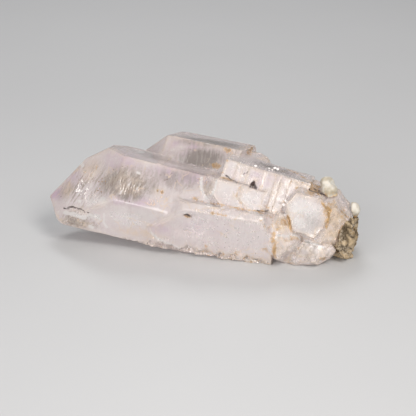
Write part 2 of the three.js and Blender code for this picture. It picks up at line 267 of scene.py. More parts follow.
WHITE_ZONES = (
    # This row is painted light: it brightens the lower front face of the front point, which looks down
    # into shade
    ((-8.6, -10.0, 6.6), (5.6, 2.0, 2.2), 0.5),
    ((16.9, -8.6, 8.4), (3.9, 2.4, 3.4), 1.0),
    ((16.0, -9.6, 3.6), (1.0, 1.2, 0.7), 0.9),
    ((19.0, -9.2, 2.7), (1.1, 1.2, 0.7), 0.9),
    ((8.4, -8.9, 10.5), (2.2, 1.4, 1.4), 0.55),
    ((6.5, -4.5, 14.1), (1.2, 1.2, 1.2), 0.7),
    ((11.9, -5.5, 11.8), (1.8, 1.4, 1.8), 0.25),
    ((4.9, -8.3, 11.9), (1.6, 1.2, 1.4), 0.5),
    # These six rows are painted glints
    ((2.9, -8.6, 9.3), (0.7, 0.5, 0.4), 1.0),
    ((-19.4, -2.1, 11.5), (0.6, 0.7, 0.5), 1.0),
    ((-8.8, -7.2, 12.8), (0.6, 0.6, 0.45), 0.9),
    ((-10.3, -0.2, 13.6), (0.7, 0.9, 0.5), 0.9),
    ((-4.0, 0.2, 12.4), (0.6, 0.9, 0.5), 0.9),
    ((-16.3, -8.4, 3.5), (0.6, 0.7, 0.5), 1.0),
    # This row is a painted highlight under the crack at the tip
    ((-18.4, -8.4, 5.4), (1.5, 0.9, 0.4), 1.0),
    ((-16.4, -9.2, 5.7), (0.9, 0.8, 0.45), 0.9),
    ((-15.4, -8.8, 8.2), (2.0, 1.4, 0.8), 0.6),
    ((-13.8, -9.7, 8.7), (1.5, 1.1, 0.9), 0.9),
)
CREAM_ZONES = (
    ((-18.0, -8.4, 4.0), (2.6, 1.6, 1.4), 0.4),
    ((-11.5, -7.6, 11.6), (4.6, 3.0, 2.2), 0.3),
    ((-21.4, -4.2, 8.0), (1.7, 2.2, 1.7), 0.5),
    ((14.0, 6.0, 5.0), (4.0, 3.4, 4.0), 0.55),
    ((-6.0, 9.0, 3.0), (4.0, 2.6, 1.2), 0.5),
    ((21.6, -6.2, 6.0), (2.6, 3.6, 5.6), 1.0),
    ((13.9, -9.6, 7.1), (1.7, 1.8, 2.0), 1.0),
    ((14.0, -10.2, 4.0), (1.8, 1.6, 3.0), 0.6),
    ((17.6, -3.2, 10.8), (4.0, 2.4, 1.4), 0.9),
    ((-17.4, -4.0, 11.2), (3.2, 2.6, 2.4), 0.55),
    ((-8.0, -9.0, 3.4), (5.0, 1.6, 1.0), 0.7),
    ((3.4, -7.6, 11.2), (1.4, 1.4, 2.2), 0.5),
)
IRON_ZONES = (
    ((22.6, -4.6, 7.6), (1.0, 2.4, 1.8), 0.7),
    ((21.0, -4.8, 9.0), (1.2, 1.2, 0.8), 0.8),
    ((22.5, -6.2, 4.4), (0.9, 2.0, 2.6), 0.8),
    ((11.3, -9.9, 3.0), (0.7, 0.6, 0.4), 0.85),
    ((2.3, -9.5, 2.5), (0.5, 0.5, 0.35), 0.85),
    ((18.0, -3.4, 10.6), (2.2, 1.8, 0.9), 0.95),
    ((20.3, -6.4, 9.2), (1.1, 1.4, 1.6), 0.85),
    ((15.0, -10.2, 5.0), (0.9, 1.0, 0.5), 0.8),
    ((12.9, -10.4, 3.6), (0.6, 1.2, 2.8), 0.8),
    ((13.9, -9.6, 7.1), (1.4, 1.4, 1.9), 0.72),
    ((8.0, 9.0, 4.0), (2.0, 1.6, 1.0), 0.75),
    ((12.0, 7.4, 8.0), (1.6, 1.6, 0.9), 0.75),
    ((-10.0, 8.6, 5.0), (0.7, 0.9, 0.5), 0.9),
    ((-5.4, -8.5, 10.5), (0.4, 0.5, 0.4), 1.0),
    ((-4.7, -8.5, 10.4), (0.4, 0.5, 0.4), 1.0),
    ((-16.9, -4.9, 10.9), (0.7, 0.8, 0.7), 0.48),
    ((-18.5, -3.4, 10.9), (0.8, 1.0, 1.0), 0.42),
    ((-16.2, -4.3, 12.0), (0.7, 0.9, 0.7), 0.42),
    ((-6.0, -10.0, 9.1), (1.2, 0.9, 0.9), 0.55),
    ((-5.0, -9.4, 9.9), (0.8, 0.8, 0.8), 0.45),
    ((3.5, 1.1, 14.5), (1.0, 0.9, 0.8), 0.8),
    ((2.1, -0.5, 12.2), (1.1, 1.0, 0.9), 0.8),
    ((0.8, -6.7, 12.2), (0.9, 0.9, 0.8), 0.7),
    ((0.6, -8.5, 9.8), (1.4, 0.9, 0.6), 0.8),
    ((3.9, -11.5, 8.9), (0.8, 0.7, 0.5), 0.7),
    ((4.6, -6.3, 12.3), (1.8, 0.8, 0.5), 0.9),
    ((14.2, 1.3, 11.6), (2.2, 1.2, 0.9), 0.75),
    ((15.5, -0.8, 11.5), (1.4, 1.2, 0.8), 0.6),
    ((20.3, -6.7, 8.2), (0.9, 1.3, 2.4), 0.8),
    ((17.5, -5.9, 11.0), (1.4, 1.2, 0.8), 0.9),
    ((18.8, -5.0, 10.8), (1.3, 1.2, 0.8), 0.9),
    ((12.6, -8.6, 3.4), (0.8, 2.4, 2.8), 0.9),
    ((-0.2, -11.1, 8.0), (0.9, 0.7, 0.5), 1.0),
    ((10.8, -8.3, 8.4), (0.9, 0.8, 0.4), 0.9),
    ((8.8, -5.3, 11.4), (0.6, 0.7, 0.8), 1.0),
    ((6.5, 4.6, 13.4), (1.4, 2.2, 1.0), 0.8),
    ((19.8, -8.0, 1.4), (1.4, 1.2, 0.8), 0.7),
)

# Zones full of small flaws, which show as slanted brown and white streaks
FLAW_ZONES = (
    ((-17.6, -5.6, 9.4), (7.0, 5.0, 4.4), 1.0),
    ((-10.4, -8.6, 11.0), (5.4, 3.6, 2.8), 1.0),
    ((-18.0, -8.6, 4.6), (4.4, 2.0, 2.2), 1.0),
    ((-2.6, -7.6, 11.2), (4.0, 2.6, 2.4), 0.35),
    ((17.6, -8.4, 2.8), (4.0, 2.4, 2.4), 0.9),
    ((21.4, -6.0, 6.4), (2.4, 3.6, 4.0), 0.7),
    ((2.3, -7.6, 11.2), (1.4, 1.4, 1.8), 0.8),
    ((16.9, -8.6, 8.2), (3.2, 2.0, 3.0), 0.25),
    ((-14.0, 5.0, 9.0), (5.0, 3.8, 3.2), 0.8),
    ((9.0, 8.0, 9.0), (3.6, 2.8, 2.6), 0.5),
    ((-1.0, 10.0, 7.5), (3.4, 2.6, 2.4), 0.5),
)
FLAW_WAY = Vector((0.42, 0.42, 0.80))
FLAW_SCALE = (1.6, 0.45, 0.45)

QUARTZ_ZONES = {
    "milk": MILK_ZONES,
    "violet": VIOLET_ZONES,
    "smoke": SMOKE_AND_SHADE_ZONES,
    "flaw": FLAW_ZONES,
    "iron": IRON_ZONES,
    "cream": CREAM_ZONES,
    "white": WHITE_ZONES,
}

# Zones where two crystals have grown into one another, so their edges are soft
GROWN_ZONES = (
    ((-10.0, -10.6, 9.0), (3.6, 2.0, 1.4), 1.0),
    ((-5.4, -10.4, 8.6), (4.4, 2.0, 1.6), 1.0),
    ((-3.4, -9.8, 9.0), (2.2, 2.4, 2.0), 1.0),
    ((1.0, -11.0, 8.6), (3.4, 1.6, 1.3), 1.0),
    ((6.0, -10.8, 8.5), (4.0, 1.6, 1.3), 1.0),
    ((10.4, -10.4, 8.0), (2.4, 1.8, 1.6), 1.0),
    ((12.4, -10.4, 5.0), (1.5, 1.6, 4.6), 1.0),
)

# Way that cracks and healed seams run into the quartz, how little they fade on that way, and how
# far they fray
CRACK_DEPTH = Vector((0.19, -0.91, 0.37)).normalized()
CRACK_SQUEEZE = 0.25
CRACK_FRAY = 0.55

# Thin marks on the quartz: half width, then the points that they pass, in millimetres
DARK_CRACKS = (
    (0.14, (-21.2, -6.6, 5.6), (-20.2, -7.2, 5.8)),
    (0.16, (-20.4, -6.9, 5.9), (-19.4, -7.4, 6.25)),
    (0.13, (-19.4, -7.4, 6.25), (-17.9, -8.5, 6.5)),
    (0.10, (-17.9, -8.5, 6.5), (-16.3, -9.2, 6.25)),
    (0.16, (17.6, -3.6, 10.9), (18.1, -3.2, 10.6)),
    (0.20, (18.5, -3.3, 10.4), (19.6, -3.7, 10.1)),
    (0.08, (-18.7, -4.7, 9.2), (-18.6, -5.0, 9.0)),
    (0.17, (-0.6, -11.1, 8.1), (0.4, -11.2, 7.9)),
    (0.08, (-5.5, -8.5, 10.5), (-5.4, -8.5, 10.5)),
    (0.08, (-4.7, -8.5, 10.4), (-4.6, -8.5, 10.3)),
    (0.12, (2.0, -2.6, 12.0), (4.6, -5.8, 12.7), (6.7, -6.8, 12.1)),
    (0.09, (7.1, -5.2, 12.9), (7.8, -4.9, 13.3)),
    (0.16, (10.2, -9.8, 9.1), (11.5, -8.2, 8.6)),
    (0.26, (8.4, -6.0, 11.1), (8.8, -5.6, 12.0), (9.2, -6.0, 11.1)),
    (0.24, (17.3, -4.7, 11.1), (18.3, -5.0, 10.9), (18.9, -4.0, 10.2)),
)
GOLD_VEINS = (
    (0.34, (17.2, -2.6, 11.2), (19.0, -2.4, 10.8), (20.4, -3.0, 9.9)),
    (0.24, (13.1, -10.0, 6.5), (12.6, -10.6, 4.9), (12.9, -10.6, 3.3), (13.0, -10.2, 2.0)),
    (0.45, (19.6, -6.5, 10.0), (20.5, -6.2, 8.6)),
    (0.26, (20.5, -6.2, 8.6), (20.3, -7.0, 6.3)),
    (0.24, (14.7, -8.9, 8.2), (15.3, -9.7, 6.2)),
    (0.22, (15.3, -9.9, 5.3), (16.4, -9.4, 4.9)),
    (0.10, (4.0, -9.8, 9.7), (7.6, -10.0, 9.3), (10.2, -9.9, 9.0), (12.6, -9.4, 7.9)),
)
PALE_SEAMS_AND_GLINTS = (
    # The first seven rows are painted glints
    (0.26, (-19.8, -1.9, 11.7), (-19.2, -2.4, 11.3)),
    (0.20, (-8.8, -7.2, 12.8), (-8.6, -7.3, 12.7)),
    (0.22, (-18.5, -7.3, 7.3), (-18.1, -7.5, 7.3)),
    (0.27, (-16.4, -8.3, 3.6), (-16.1, -8.3, 3.4)),
    (0.20, (-15.3, -9.1, 6.0), (-14.7, -9.1, 5.8)),
    (0.26, (-10.5, -0.2, 13.6), (-9.9, -0.2, 13.5)),
    (0.26, (2.7, -10.2, 9.5), (3.2, -10.3, 9.5)),
    (0.22, (0.9, -6.3, 12.3), (1.0, -7.2, 11.2), (1.7, -8.0, 10.2), (2.3, -8.3, 9.7)),
    (0.20, (2.3, -8.3, 9.7), (3.1, -9.1, 10.9), (3.5, -8.5, 11.8), (3.6, -7.7, 12.7)),
    # These three rows are a painted highlight along the lower edge, a painted glint above the hole and
    # a painted highlight under the crack at the tip
    (0.20, (-6.3, -9.7, 4.0), (-5.2, -9.5, 3.0), (-3.9, -9.3, 2.4), (-1.9, -9.1, 1.6)),
    (0.15, (-0.7, -11.4, 8.5), (-0.2, -11.5, 8.5)),
    (0.30, (-20.8, -7.4, 5.2), (-18.6, -8.8, 5.6), (-17.0, -8.9, 5.2)),
    (0.20, (-16.1, -9.3, 6.1), (-14.6, -9.1, 5.3)),
    (0.16, (-13.7, -9.5, 6.4), (-14.1, -8.9, 4.8), (-13.6, -8.5, 3.7)),
    (0.18, (13.6, -10.5, 5.7), (16.2, -9.4, 5.2), (18.0, -8.1, 3.9), (20.0, -7.9, 3.2)),
)

# Sheets of flakes, puffs and specks in the crystals: centre and half size in millimetres, and turn
# about x, y, z in degrees. Some sheets reach past the crystal faces, so a few grains lie outside
VEIL_SHEETS = (
    ((-15.4, -6.6, 8.6), (3.4, 1.6), (38.0, 14.0, 8.0)),
    ((-17.1, -3.4, 10.2), (0.9, 2.6), (20.0, -38.0, 24.0)),
    ((-12.2, -5.0, 10.4), (2.6, 2.4), (58.0, 30.0, -10.0)),
    ((-6.4, -6.6, 10.0), (2.6, 1.0), (48.0, 10.0, 12.0)),
    ((-2.5, 4.4, 12.2), (2.8, 1.8), (42.0, 6.0, 16.0)),
)
CLOUD_SHEETS = (
    ((4.2, -9.7, 4.8), (7.4, 3.4), (110.5, -5.0, 0.0)),
    ((16.8, -7.6, 7.9), (3.0, 3.0), (68.3, 0.0, 24.8)),
    ((9.2, -4.4, 12.0), (3.8, 2.4), (51.0, 12.0, 11.0)),
    ((6.0, -7.3, 10.6), (3.4, 1.5), (50.0, 10.0, 8.0)),
    ((20.4, -5.2, 6.2), (2.0, 3.2), (70.0, 0.0, 35.0)),
    ((17.3, -8.2, 2.8), (2.6, 1.2), (60.0, 0.0, 13.0)),
    ((13.6, -8.4, 5.4), (1.6, 2.6), (80.0, 0.0, -8.0)),
    ((16.8, -2.6, 9.6), (2.8, 2.0), (10.0, 8.0, 0.0)),
)
SPECK_SHEETS = (
    ((-11.2, -7.9, 10.9), (3.6, 2.0), (50.0, 10.0, 0.0)),
    ((-18.5, -4.4, 9.4), (2.0, 2.2), (40.0, -34.0, 0.0)),
)


# Settings


def length_property(name, description, default, least=0.0):
    """Length, given here in millimetres."""
    return FloatProperty(
        name=name, description=description, default=default * MM, min=least * MM, unit="LENGTH")


def share_property(name, description, default):
    """Share from 0 to 1."""
    return FloatProperty(
        name=name, description=description, default=default, min=0.0, max=1.0, subtype="FACTOR")


def colour_property(name, description, default):
    """Colour of a finish."""
    return FloatVectorProperty(
        name=name, description=description, default=default, min=0.0, max=1.0, subtype="COLOR")


def seed_property(default):
    """Seed of a scatter."""
    return IntProperty(name="Seed", description="Fixes the scatter", default=default, min=0)


class QuartzSettings(bpy.types.PropertyGroup):
    """Sizes and colours of the quartz crystals."""

    mesh_step: length_property("Mesh Step", "Longest edge of the finished skin", 0.42, 0.2)
    edge_wear: share_property("Edge Wear", "How far sharp edges are rubbed down", 0.42)
    face_wave: length_property("Face Wave", "Height of the slow waves on the crystal faces", 0.03)
    growth_step: length_property(
        "Growth Step", "Height of the growth ridges across the prism faces", 0.025)
    break_height: length_property("Break Height", "Roughness of the broken base", 0.42)
    clear_colour: colour_property("Clear", "Body colour of the clearest quartz", (0.80, 0.705, 0.70))
    milky_colour: colour_property("Milky", "Colour of the clouded quartz", (0.985, 0.915, 0.90))
    violet_colour: colour_property(
        "Violet", "Amethyst tint near the tips and along the edges", (0.74, 0.56, 0.71))
    # The smoke colour is partly painted shade, for the dark that shows through the clear windows
    smoke_and_shade_colour: colour_property("Smoke", "Grey-brown of the see-through windows", (0.34, 0.305, 0.28))
    flaw_colour: colour_property(
        "Flaw", "Brown of the small flaws in the clear points", (0.33, 0.26, 0.20))
    haze_colour: colour_property(
        "Haze", "Pinkish grey of thinner patches in the clouded quartz", (0.86, 0.76, 0.765))
    # White is also the colour of the painted glints, highlights and sparkle
    white_colour: colour_property(
        "White", "Frosted white of the end facet, of bruises and of pale seams", (0.995, 0.975, 0.955))
    cream_colour: colour_property(
        "Cream", "Cream of worn edges and of the broken base", (0.95, 0.77, 0.58))
    transmission: share_property("Transmission", "Share of the light that passes into the quartz", 0.54)
    ior: FloatProperty(
        name="IOR", description="Refractive index of quartz", default=1.544, min=1.0, max=3.0)
    gloss: share_property("Gloss", "Weight of the smooth growth skin over the clouded body", 0.12)
    absorption_colour: colour_property(
        "Absorption", "Tint of light that has crossed the crystal", (0.95, 0.88, 0.92))
    absorption_density: FloatProperty(
        name="Absorption Density", description="Strength of the tint for each metre crossed",
        default=30.0, min=0.0)


class InclusionSettings(bpy.types.PropertyGroup):
    """Sizes and colours of what lies in the crystals."""

    flake_size: length_property("Flake Size", "Radius of a flake in a veil", 0.11, 0.01)
    flake_spacing: length_property("Flake Spacing", "Least distance between flakes", 0.22, 0.05)
    cloud_size: length_property("Cloud Size", "Radius of a puff in the milky clouds", 0.24, 0.01)
    cloud_spacing: length_property("Cloud Spacing", "Least distance between puffs", 0.45, 0.05)
    speck_size: length_property("Speck Size", "Radius of a dark speck", 0.09, 0.01)
    speck_spacing: length_property("Speck Spacing", "Least distance between specks", 0.42, 0.05)
    veil_colour: colour_property("Veil", "Colour of the flakes and puffs", (0.97, 0.93, 0.915))
    fleck_colour: colour_property("Veil Fleck", "Duller flecks on them", (0.86, 0.79, 0.77))
    seed: seed_property(11)


class IronSettings(bpy.types.PropertyGroup):
    """Sizes and colours of the iron stain, its crumbs and the open cracks."""

    crumb_size: length_property("Crumb Size", "Radius of a crumb", 0.11, 0.01)
    crumb_spacing: length_property("Crumb Spacing", "Least distance between crumbs", 0.2, 0.05)
    gold_colour: colour_property("Gold", "Thin, fresh stain", (0.72, 0.42, 0.13))
    brown_colour: colour_property("Brown", "Thick, old stain", (0.16, 0.085, 0.03))
    crack_colour: colour_property("Crack", "Dark of open cracks and pits", (0.055, 0.04, 0.04))
    seed: seed_property(5)


class RockSettings(bpy.types.PropertyGroup):
    """Sizes and colours of the rock crust and the white mineral."""

    mesh_step: length_property("Mesh Step", "Longest edge of the finished crust", 0.3, 0.1)
    crag_height: length_property("Crag Height", "Height of the lumps and hollows", 0.5)
    grain_size: length_property("Grain Size", "Radius of a loose grain", 0.15, 0.02)
    grain_spacing: length_property("Grain Spacing", "Least distance between grains", 0.34, 0.1)
    tan_colour: colour_property("Tan", "Lighter part of the crust", (0.47, 0.355, 0.22))
    olive_colour: colour_property("Olive", "Darker part of the crust", (0.11, 0.076, 0.04))
    sugar_colour: colour_property("Sugar", "Pale quartz sugar in the crust", (0.66, 0.56, 0.44))
    white_colour: colour_property("White", "The white mineral grains", (0.64, 0.60, 0.53))
    hollow_colour: colour_property("White Hollow", "Cream in their hollows", (0.48, 0.42, 0.32))
    seed: seed_property(3)


class StageSettings(bpy.types.PropertyGroup):
    """The floor and the camera."""

    floor_colour: colour_property("Floor", "Colour of the floor", (0.56, 0.56, 0.565))
    azimuth: FloatProperty(
        name="Azimuth", description="Camera's turn to the right of the front",
        default=math.radians(12.0), subtype="ANGLE")
    elevation: FloatProperty(
        name="Elevation", description="Camera's height above the horizon",
        default=math.radians(22.0), subtype="ANGLE")
    distance: length_property("Distance", "From the camera to its target", 190.0, 10.0)
    target: FloatVectorProperty(
        name="Target", description="Point at the middle of the picture",
        default=(1.23 * MM, -3.04 * MM, 6.1 * MM), subtype="XYZ", unit="LENGTH")
    view_width: length_property("View Width", "Width of the picture at the target", 65.0, 10.0)


# Node trees


def put(tree, kind, inputs=None, **settings):
    """Adds a node, makes its settings, and links or sets the inputs that are given."""
    made = tree.nodes.new(kind)
    for name, value in settings.items():
        setattr(made, name, value)
    for key, value in (inputs or {}).items():
        socket = made.inputs[key]
        if isinstance(value, bpy.types.NodeSocket):
            tree.links.new(value, socket)
        else:
            socket.default_value = (*value, 1.0) if socket.type == "RGBA" else value
    return made


def calc(tree, operation, *values, clamp=False):
    """Output of a Math node."""
    inputs = dict(enumerate(values))
    return put(tree, "ShaderNodeMath", inputs, operation=operation, use_clamp=clamp).outputs[0]


def reckon(tree, operation, *values, scale=None):
    """Output of a Vector Math node: a number for a product or a distance, and else a vector."""
    inputs = dict(enumerate(values))
    if scale is not None:
        inputs["Scale"] = scale
    outputs = put(tree, "ShaderNodeVectorMath", inputs, operation=operation).outputs
    return outputs["Value" if operation in {"DOT_PRODUCT", "DISTANCE"} else "Vector"]


def blend(tree, share, low, high):
    """Colour between low and high by share."""
    return put(tree, "ShaderNodeMix", {0: share, 6: low, 7: high}, data_type="RGBA").outputs[2]


def lay(tree, colour, coat, mask, strength):
    """Colour with a coat laid over it, as strong as the mask and the strength say."""
    return blend(tree, calc(tree, "MULTIPLY", mask, strength), colour, coat)


def span(tree, value, step):
    """Value through one of the soft steps."""
    low, high, *strength = STEPS[step]
    to_low, to_high = strength or (0.0, 1.0)
    inputs = {"Value": value, "From Min": low, "From Max": high, "To Min": to_low, "To Max": to_high}
    return put(tree, "ShaderNodeMapRange", inputs, interpolation_type="SMOOTHSTEP").outputs["Result"]


def cloud(tree, place, kind, output="Fac", scale=None):
    """One of the noises at a place in millimetres, or along a line if the place is one number."""
    inputs = dict(zip(("Scale", "Detail", "Roughness"), NOISES[kind]))
    if scale is not None:
        inputs["Scale"] = scale
    if place.type == "VALUE":
        made = put(tree, "ShaderNodeTexNoise", {"W": place, **inputs}, noise_dimensions="1D")
    else:
        made = put(tree, "ShaderNodeTexNoise", {"Vector": place, **inputs})
    return made.outputs[output]


def painted(tree, name):
    """A painted mask of the mesh."""
    return put(tree, "ShaderNodeAttribute", attribute_name=name).outputs["Fac"]


def new_group(name, inputs, outputs):
    """Shader node group with those sockets: its tree, its inputs as a list, and its output node."""
    tree = bpy.data.node_groups.new(name, "ShaderNodeTree")
    for title, kind, default in inputs:
        socket = tree.interface.new_socket(title, in_out="INPUT", socket_type=kind)
        if default is not None:
            socket.default_value = default
    for title, kind in outputs:
        tree.interface.new_socket(title, in_out="OUTPUT", socket_type=kind)
    source = tree.nodes.new("NodeGroupInput")
    return tree, list(source.outputs)[:len(inputs)], tree.nodes.new("NodeGroupOutput")


def use_group(tree, group, inputs):
    """Outputs of a shader node group that is placed in a material's tree."""
    return put(tree, "ShaderNodeGroup", inputs, node_tree=group).outputs


def iron_group():
    """Iron stain: a ragged mask, and a colour that runs from gold where thin to brown where thick."""
    group = bpy.data.node_groups.get("Iron Stain")
    if group:
        return group
    tree, (place, amount, scale, gold, brown), result = new_group(
        "Iron Stain",
        (("Place", "NodeSocketVector", None), ("Amount", "NodeSocketFloat", 0.5),
         ("Scale", "NodeSocketFloat", 1.0), ("Gold", "NodeSocketColor", None),
         ("Brown", "NodeSocketColor", None)),
        (("Mask", "NodeSocketFloat"), ("Colour", "NodeSocketColor")))
    ragged = cloud(tree, place, "stain", scale=scale)
    thick = calc(tree, "ADD", amount, calc(tree, "MULTIPLY_ADD", ragged, STAIN_GAIN, STAIN_START))
    mask = calc(tree, "MULTIPLY", span(tree, thick, "stain mask"), span(tree, amount, "stain start"))
    tree.links.new(mask, result.inputs["Mask"])
    tree.links.new(blend(tree, span(tree, thick, "stain brown"), gold, brown), result.inputs["Colour"])
    return tree


def iron_stain(tree, place, iron, amount, scale):
    """Mask and colour of iron stain, for an amount and for so many features to the millimetre."""
    return use_group(tree, iron_group(), {
        "Place": place, "Amount": amount, "Scale": scale,
        "Gold": iron.gold_colour, "Brown": iron.brown_colour})


def grain_group():
    """Fine grain: a fleck mask and a height, for roughness and bump."""
    group = bpy.data.node_groups.get("Fine Grain")
    if group:
        return group
    tree, (place, scale, relief), result = new_group(
        "Fine Grain",
        (("Place", "NodeSocketVector", None), ("Scale", "NodeSocketFloat", 6.0),
         ("Cell Relief", "NodeSocketFloat", 0.3)),
        (("Fleck", "NodeSocketFloat"), ("Height", "NodeSocketFloat")))
    rough = cloud(tree, place, "grain", scale=scale)
    cells = put(tree, "ShaderNodeTexVoronoi", {"Vector": place, "Scale": scale}).outputs["Distance"]
    tree.links.new(span(tree, rough, "grain fleck"), result.inputs["Fleck"])
    tree.links.new(calc(tree, "MULTIPLY_ADD", cells, relief, rough), result.inputs["Height"])
    return tree


def mark_group():
    """Thin straight mark, from one place to another."""
    group = bpy.data.node_groups.get("Thin Mark")
    if group:
        return group
    tree, (place, start, run, width), result = new_group(
        "Thin Mark",
        (("Place", "NodeSocketVector", None), ("Start", "NodeSocketVector", None),
         ("Run", "NodeSocketVector", None), ("Half Width", "NodeSocketFloat", 0.2)),
        (("Mask", "NodeSocketFloat"),))
    offset = reckon(tree, "SUBTRACT", place, start)
    passed = calc(tree, "DIVIDE", reckon(tree, "DOT_PRODUCT", offset, run),
                  reckon(tree, "DOT_PRODUCT", run, run))
    # A node of its own sets the limits: so many clamped Math nodes overrun the renderer's stack
    passed = put(tree, "ShaderNodeClamp", {"Value": passed}).outputs["Result"]
    away = reckon(tree, "DISTANCE", offset, reckon(tree, "SCALE", run, scale=passed))
    tree.links.new(span(tree, calc(tree, "DIVIDE", away, width), "mark side"), result.inputs["Mask"])
    return tree


def squeeze(point):
    """Point pressed flat along the way that cracks run."""
    return point - CRACK_DEPTH * point.dot(CRACK_DEPTH) * (1.0 - CRACK_SQUEEZE)


def squeezed_place(tree, place):
    """Place pressed flat along the way that cracks run, and frayed a little."""
    deep = reckon(tree, "DOT_PRODUCT", place, CRACK_DEPTH)
    shift = calc(tree, "MULTIPLY", deep, CRACK_SQUEEZE - 1.0)
    flat = reckon(tree, "ADD", place, reckon(tree, "SCALE", CRACK_DEPTH, scale=shift))
    fray = cloud(tree, place, "fray", output="Color")
    centred = reckon(tree, "SUBTRACT", fray, MIDDLE)
    return reckon(tree, "MULTIPLY_ADD", centred, (CRACK_FRAY,) * 3, flat)


def marks(tree, place, table):
    """Mask of all the thin marks in a table."""
    mask = None
    for width, *passed in table:
        squeezed = [squeeze(Vector(point)) for point in passed]
        for start, end in zip(squeezed, squeezed[1:]):
            mark = use_group(tree, mark_group(), {
                "Place": place, "Start": start, "Run": end - start, "Half Width": width})["Mask"]
            mask = mark if mask is None else calc(tree, "MAXIMUM", mask, mark)
    return mask


def new_material(name):
    """Empty material; returns it, its tree, and its place in millimetres."""
    material = bpy.data.materials.new(name)
    material.use_nodes = True
    tree = material.node_tree
    tree.nodes.clear()
    place = put(tree, "ShaderNodeTexCoord").outputs["Object"]
    in_mm = put(tree, "ShaderNodeMapping", {"Vector": place, "Scale": (1.0 / MM,) * 3}).outputs[0]
    return material, tree, in_mm


def close_material(tree, finish, volume=None):
    """Gives the material its shader with that finish, and its volume if there is one."""
    shader = put(tree, "ShaderNodeBsdfPrincipled", finish)
    output = put(tree, "ShaderNodeOutputMaterial", {"Surface": shader.outputs["BSDF"]})
    if volume:
        tree.links.new(volume.outputs["Volume"], output.inputs["Volume"])


def bump(tree, height, distance, strength=1.0):
    """Normal from a height, with the relief's depth in metres."""
    inputs = {"Height": height, "Distance": distance, "Strength": strength}
    return put(tree, "ShaderNodeBump", inputs).outputs["Normal"]


def quartz_material(quartz, iron):
    """Clear to milky quartz with violet tints, smoky windows that are partly painted shade, flaws,
    cracks and iron stain, with painted glints, highlights and sparkle.
    """
    material, tree, place = new_material("quartz")
    lines = cloud(tree, reckon(tree, "DOT_PRODUCT", place, POINT_AXIS), "growth lines")
    drift = cloud(tree, place, "drift")
    wisps = cloud(tree, place, "wisps")
    combed = put(tree, "ShaderNodeMapping", {
        "Vector": place, "Rotation": (0.0, -POINT_TILT, 0.0), "Scale": COMB_SCALE}).outputs[0]
    streaks = cloud(tree, combed, "streaks")
    slanted = put(tree, "ShaderNodeMapping", {
        "Vector": place, "Rotation": FLAW_WAY.to_track_quat("X", "Z").to_euler(),
        "Scale": FLAW_SCALE}, vector_type="TEXTURE").outputs[0]
    flaws = cloud(tree, slanted, "flaws")
    mottle = span(tree, cloud(tree, place, "mottle"), "mottle")

    def patches(name, broken_by, step, clamp=False):
        return calc(tree, "MULTIPLY", painted(tree, name), span(tree, broken_by, step), clamp=clamp)

    # Milk is painted, and pushed up and down by the wisps and the growth lines
    push = calc(tree, "MULTIPLY_ADD", wisps, MILK_WISPS, MILK_START)
    push = calc(tree, "MULTIPLY_ADD", lines, MILK_LINES, push)
    milk = calc(tree, "ADD", painted(tree, "milk"), push, clamp=True)

    # Healed cracks are the edges of swayed cells
    sway = cloud(tree, place, "sway", output="Color")
    swayed = reckon(tree, "MULTIPLY_ADD", sway, (CELL_SWAY,) * 3, place)
    edge = put(tree, "ShaderNodeTexVoronoi", {"Vector": swayed, "Scale": CELL_SCALE},
               feature="DISTANCE_TO_EDGE")
    healed = calc(tree, "MULTIPLY", span(tree, edge.outputs["Distance"], "crack line"),
                  span(tree, drift, "crack part"))
    pepper = calc(tree, "MULTIPLY", span(tree, cloud(tree, place, "pepper"), "pepper"),
                  span(tree, painted(tree, "smoke"), "pepper part"))

    colour = blend(tree, milk, quartz.clear_colour, quartz.milky_colour)
    for mask, coat in (
            (calc(tree, "MULTIPLY", mottle, 0.55), quartz.haze_colour),
            (span(tree, cloud(tree, place, "flecks"), "flecks"), quartz.white_colour),
            # Fine frosted specks, which are also painted sparkle
            (span(tree, cloud(tree, place, "frost_and_sparkle"), "frost_and_sparkle"), quartz.white_colour),
            (patches("violet", drift, "violet"), quartz.violet_colour),
            # White zones: frosted white, and some painted glints and painted light
            (patches("white", wisps, "white"), quartz.white_colour),
            # Smoke in the windows, partly painted shade for the dark that shows through them
            (patches("smoke", streaks, "smoke", clamp=True), quartz.smoke_and_shade_colour),
            (patches("cream", wisps, "cream"), quartz.cream_colour),
            (patches("flaw", flaws, "dark flaw"), quartz.flaw_colour),
            (patches("flaw", flaws, "white flaw"), quartz.white_colour),
            (healed, quartz.cream_colour),
            (pepper, iron.brown_colour)):
        colour = blend(tree, mask, colour, coat)
    stain = iron_stain(tree, place, iron, painted(tree, "iron"), 1.5)
    colour = lay(tree, colour, stain["Colour"], stain["Mask"], 0.85)
    seam_place = squeezed_place(tree, place)
    # Pale seams, and painted glints and highlights, as thin white marks
    colour = lay(tree, colour, quartz.white_colour, marks(tree, seam_place, PALE_SEAMS_AND_GLINTS), 0.9)
    for table, step, coat in ((GOLD_VEINS, "gold vein", iron.gold_colour),
                              (DARK_CRACKS, "dark crack", iron.crack_colour)):
        colour = lay(tree, colour, coat, marks(tree, seam_place, table), span(tree, wisps, step))

    rough = calc(tree, "MULTIPLY_ADD", calc(tree, "POWER", milk, 2.0), 0.26, 0.05)
    rough = calc(tree, "MULTIPLY_ADD", mottle, 0.07, rough)
    rough = calc(tree, "MULTIPLY_ADD", stain["Mask"], 0.4, rough)
    grain = use_group(tree, grain_group(), {"Place": place, "Scale": 2.2, "Cell Relief": 0.0})
    height = calc(tree, "MULTIPLY_ADD", grain["Height"], 0.4, calc(tree, "ADD", lines, streaks))
    volume = put(tree, "ShaderNodeVolumeAbsorption", {
        "Color": quartz.absorption_colour, "Density": quartz.absorption_density})
    close_material(tree, {
        "Base Color": colour, "Roughness": rough, "Normal": bump(tree, height, 0.05 * MM, 0.6),
        "Transmission Weight": quartz.transmission, "IOR": quartz.ior,
        "Coat Weight": quartz.gloss, "Coat Roughness": 0.07}, volume)
    return material


